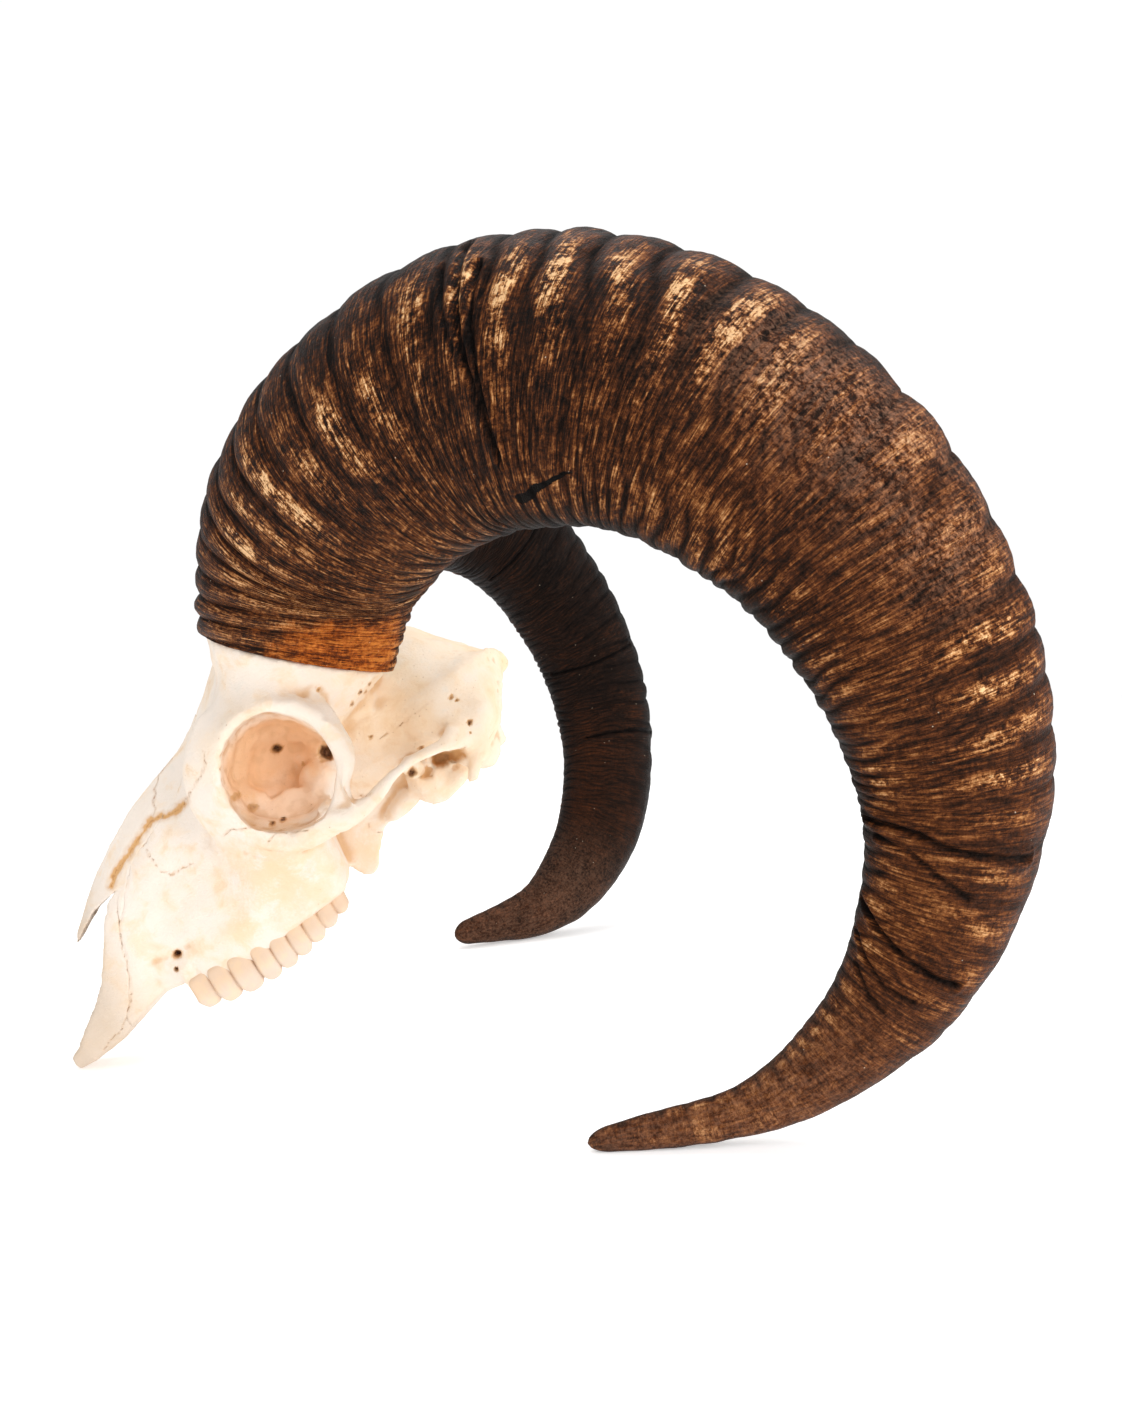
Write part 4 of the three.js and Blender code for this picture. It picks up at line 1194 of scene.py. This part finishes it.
def shapeTooth(ball, lobe, side):
    x, y, long, wide, tip, lean = lobe
    # a rounded block, fuller low down on its outer face, its chewing end cut in two slopes
    block = np.sign(ball) * np.abs(ball) ** toothForm["square"]
    low = smoothStep(0.1, -1, block[:, 2])
    bulge = 0.88 + 0.14 * hump(block[:, 2], -0.45, 0.5)
    top = toothForm["top"]
    cheek = block[:, 1] * side
    px = block[:, 0] * long / 2 * bulge * (1 - 0.06 * low)
    py = block[:, 1] * wide / 2 * (1 - 0.16 * low) * (0.94 + 0.08 * hump(block[:, 0], 0, 0.5))
    pz = block[:, 2] * (top - tip) / 2 + (top + tip) / 2
    pz = pz + low * (1.5 * np.abs(block[:, 0]) ** 2 + 1.5 * (0.5 - 0.5 * cheek) ** 2)
    angle = math.radians(lean)
    rx = px * math.cos(angle) - (pz - top) * math.sin(angle)
    rz = (pz - top) * math.cos(angle) + px * math.sin(angle) + top
    placed = np.stack([x + rx, side * y + py, rz], 1)
    uneven = [ripple(placed, size, seed) for size, seed in ((2.2, 61), (2.2, 62), (3, 63))]
    return placed + toothForm["uneven"] * np.stack(uneven, 1)


def buildTeeth(name, side):
    sketch = bmesh.new()
    for lobe in toothForm["lobes"]:
        addBall(sketch, 4, lambda ball: shapeTooth(ball, lobe, side))
    bmesh.ops.recalc_face_normals(sketch, faces=sketch.faces)
    mesh = meshFrom(sketch, name)
    shadeSmooth(mesh)
    points = toSkull(readPoints(mesh))
    addVectors(mesh, "place", mirrored(points))
    lobeMiddles = np.array([lobe[0] for lobe in toothForm["lobes"]])
    halves = np.array([lobe[2] for lobe in toothForm["lobes"]]) / 2
    inside = np.min(np.abs(points[:, :1] - lobeMiddles) / halves, axis=1)
    # painted shade where the lobes meet
    addValue(mesh, "gap", smoothStep(0.64, 1.0, inside))
    piece = addObject(name, mesh)
    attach(piece, "root")
    return piece


teethLeft = buildTeeth("teethLeft", -1)
teethRight = buildTeeth("teethRight", 1)
print("teeth built")

boneLook = {
    "ivory": tint(240, 227, 214),
    "warm": tint(241, 213, 178),
    "honey": tint(238, 204, 162),
    "tan": tint(214, 170, 124),
    # the lit lower wall and the shaded upper wall of the eye socket: painted light and shade
    "pink": tint(250, 216, 186),
    "socket": tint(247, 198, 148),
    "amber": tint(212, 158, 92),
    "brown": tint(166, 108, 58),
    # painted shade inside the holes, then darkest at their middles
    "hole": tint(132, 80, 46),
    "holeShade": tint(58, 32, 20),
    "grey": tint(226, 219, 208),
    # painted shade for the front of the jaw
    "front": tint(204, 184, 163),
    "enamel": tint(224, 203, 184),
}


def boneFinish(name):
    finish = Finish(name)
    place = finish.vector("place")
    broad = finish.noise(place, 0.028, 4, 0.55)
    mottle = finish.noise(place, 0.11, 4, 0.6, 0.4)
    fine = finish.noise(place, 0.9, 5, 0.62)
    grainLines = finish.noise(finish.stretched(place, (0.25, 1.6, 1.6)), 1, 3, 0.6)
    dots = finish.ramp(finish.noise(place, 0.7, 2, 0.5), 0.46, 0.54)
    nook = finish.value("nook")
    dip = finish.value("dip")
    orbit = finish.value("orbit")
    facing = finish.ramp(finish.value("facing"), 0.05, 0.3)
    joint = finish.value("joint")
    hole = finish.value("hole")
    warmth = finish.value("warmth")
    fromTip = finish.part(place, 0)
    high = finish.part(place, 2)
    back = finish.ramp(fromTip + (mottle - 0.5) * 30, 120, 200)
    stain = finish.ramp(mottle + (broad - 0.5) * 0.6, 0.58, 0.74) * (1 - orbit)
    honeyed = finish.ramp(mottle * 0.7 + fine * 0.3 + warmth * 0.2, 0.42, 0.66)
    # inside the eye socket, painted shade: darker on the upper wall, which faces down, lighter on the lit
    # lower wall
    shadedUpperWall = finish.ramp(high + (mottle - 0.5) * 26, 48, 62)
    socket = finish.blend(shadedUpperWall, boneLook["pink"], boneLook["socket"])
    jointEdge = joint + (mottle - 0.5) * 3.4 + (fine - 0.5) * 1.4
    crackEdge = finish.value("crack") + (fine - 0.5) * 0.4
    pitted = hole + (fine - 0.5) * hole
    pore = 1 - finish.ramp(finish.cells(place, 0.32), 0.03, 0.075)
    pore = pore * finish.ramp(broad + back * 0.25, 0.5, 0.62)
    colour = finish.coats(boneLook["ivory"], [
        (finish.ramp(broad, 0.42, 0.62) * 0.4 + back * 0.5, boneLook["warm"]),
        (finish.ramp(mottle, 0.5, 0.68) * 0.5, boneLook["warm"]),
        (stain * 0.22, boneLook["tan"]),
        (finish.ramp(mottle, 0.42, 0.3) * 0.3, boneLook["grey"]),
        (warmth * honeyed, boneLook["honey"]),
        # tan in the broad hollows: partly stain, partly painted shade
        (finish.ramp(dip, 0.3, 2.0) * (0.7 - orbit * 0.45), boneLook["tan"]),
        # painted shade on the front of the jaw, which faces down, away from the light
        (finish.ramp(fromTip, 50, 18) * 0.8, boneLook["front"]),
        # the painted light and shade inside the eye socket
        (orbit * 0.8, socket),
        # tan in the small nooks: partly stain, partly painted shade
        (finish.ramp(nook, 0.04, 0.26) * (0.65 - orbit * 0.4), boneLook["tan"]),
        # the joint, the fine cracks, painted shade in the holes and the pores
        (finish.ramp(jointEdge, 3, 0.8) * facing * 0.5, boneLook["tan"]),
        (finish.ramp(jointEdge, 1.5, 0.5) * facing * 0.85, boneLook["amber"]),
        (finish.ramp(joint + (fine - 0.5), 0.35, 0.05) * facing * 0.5, boneLook["brown"]),
        (finish.ramp(crackEdge, 0.9, 0.1) * facing * 0.25, boneLook["tan"]),
        (finish.ramp(crackEdge, 0.26, 0.05) * dots * facing * 0.7, boneLook["brown"]),
        # painted shade in the holes, from an amber rim to dark at the middle
        (finish.ramp(pitted, 0, 0.25) * 0.6, boneLook["amber"]),
        (finish.ramp(pitted, 0.2, 0.55) * pitted.smaller(1), boneLook["hole"]),
        (finish.ramp(pitted, 0.6, 0.95), boneLook["holeShade"]),
        (pore * 0.55, boneLook["brown"]),
    ])
    height = fine * 0.35 + grainLines * 0.25 - pore * 0.8 + finish.ramp(crackEdge, 0, 0.4) * 0.4
    return plug(finish, {
        "Base Color": colour,
        "Roughness": 0.5 + fine * 0.2,
        "Normal": finish.bump(0.85, 0.001, height),
        "Specular IOR Level": 0.4,
    })


def toothFinish(name):
    finish = Finish(name)
    place = finish.vector("place")
    mottle = finish.noise(place, 0.25, 3, 0.55)
    streaks = finish.noise(finish.stretched(place, (1.4, 1.4, 0.25)), 1, 3, 0.6)
    colour = finish.coats(boneLook["enamel"], [
        (finish.ramp(mottle, 0.4, 0.65) * 0.5, boneLook["warm"]),
        (finish.ramp(finish.part(place, 2) + streaks * 3, -3, 4) * 0.4, boneLook["tan"]),
        # painted shade between the lobes
        (finish.value("gap") * 0.9, boneLook["brown"]),
    ])
    return plug(finish, {
        "Base Color": colour,
        "Roughness": 0.34 + streaks * 0.12,
        "Normal": finish.bump(0.3, 0.0005, streaks * 0.6 + mottle * 0.4),
    })


boneMaterial = boneFinish("old bone")
for piece in bones:
    piece.data.materials.append(boneMaterial)
toothMaterial = toothFinish("tooth enamel")
teethLeft.data.materials.append(toothMaterial)
teethRight.data.materials.append(toothMaterial)
print("bone and tooth finish made")

# ---- floor, light and world

studio = {
    "floor": 6.0,
    "aim": (0, 0, 0.15),
    "world": 0.7,
    "backdrop": 1.02,
    "glow": 0.35,
    "key": {"place": (-0.9, -1.3, 1.5), "size": 1.4, "power": 3},
    "fill": {"place": (1.1, -1.5, 0.7), "size": 1.6, "power": 27},
    "top": {"place": (0.1, 0.4, 1.8), "size": 1.6, "power": 14},
}


def addLight(name, place, size, power):
    light = bpy.data.lights.new(name, "AREA")
    light.shape = "DISK"
    light.size = size
    light.energy = power
    holder = addObject(name, light)
    holder.location = place
    aim = Vector(studio["aim"]) - holder.location
    holder.rotation_euler = aim.to_track_quat("-Z", "Y").to_euler()


def addStudio():
    sketch = bmesh.new()
    bmesh.ops.create_grid(sketch, x_segments=1, y_segments=1, size=studio["floor"])
    mesh = meshFrom(sketch, "floor")
    floor = addObject("floor", mesh)
    paper = Finish("floor paper")
    inputs = {"Base Color": tint(250, 250, 250), "Roughness": 0.9}
    inputs.update({"Emission Color": tint(255, 255, 255), "Emission Strength": studio["glow"]})
    mesh.materials.append(plug(paper, inputs))
    for name in ("key", "fill", "top"):
        addLight(name, **studio[name])
    world = bpy.data.worlds.new("studio")
    world.use_nodes = True
    back = world.node_tree.nodes["Background"]
    back.inputs["Color"].default_value = (1, 1, 1, 1)
    nodes, links = world.node_tree.nodes, world.node_tree.links
    seen = nodes.new("ShaderNodeLightPath")
    strength = nodes.new("ShaderNodeMapRange")
    strength.inputs["To Min"].default_value = studio["world"]
    strength.inputs["To Max"].default_value = studio["backdrop"]
    links.new(seen.outputs["Is Camera Ray"], strength.inputs["Value"])
    links.new(strength.outputs["Result"], back.inputs["Strength"])
    scene.world = world
    scene.view_settings.view_transform = "Standard"


addStudio()
print("studio set")
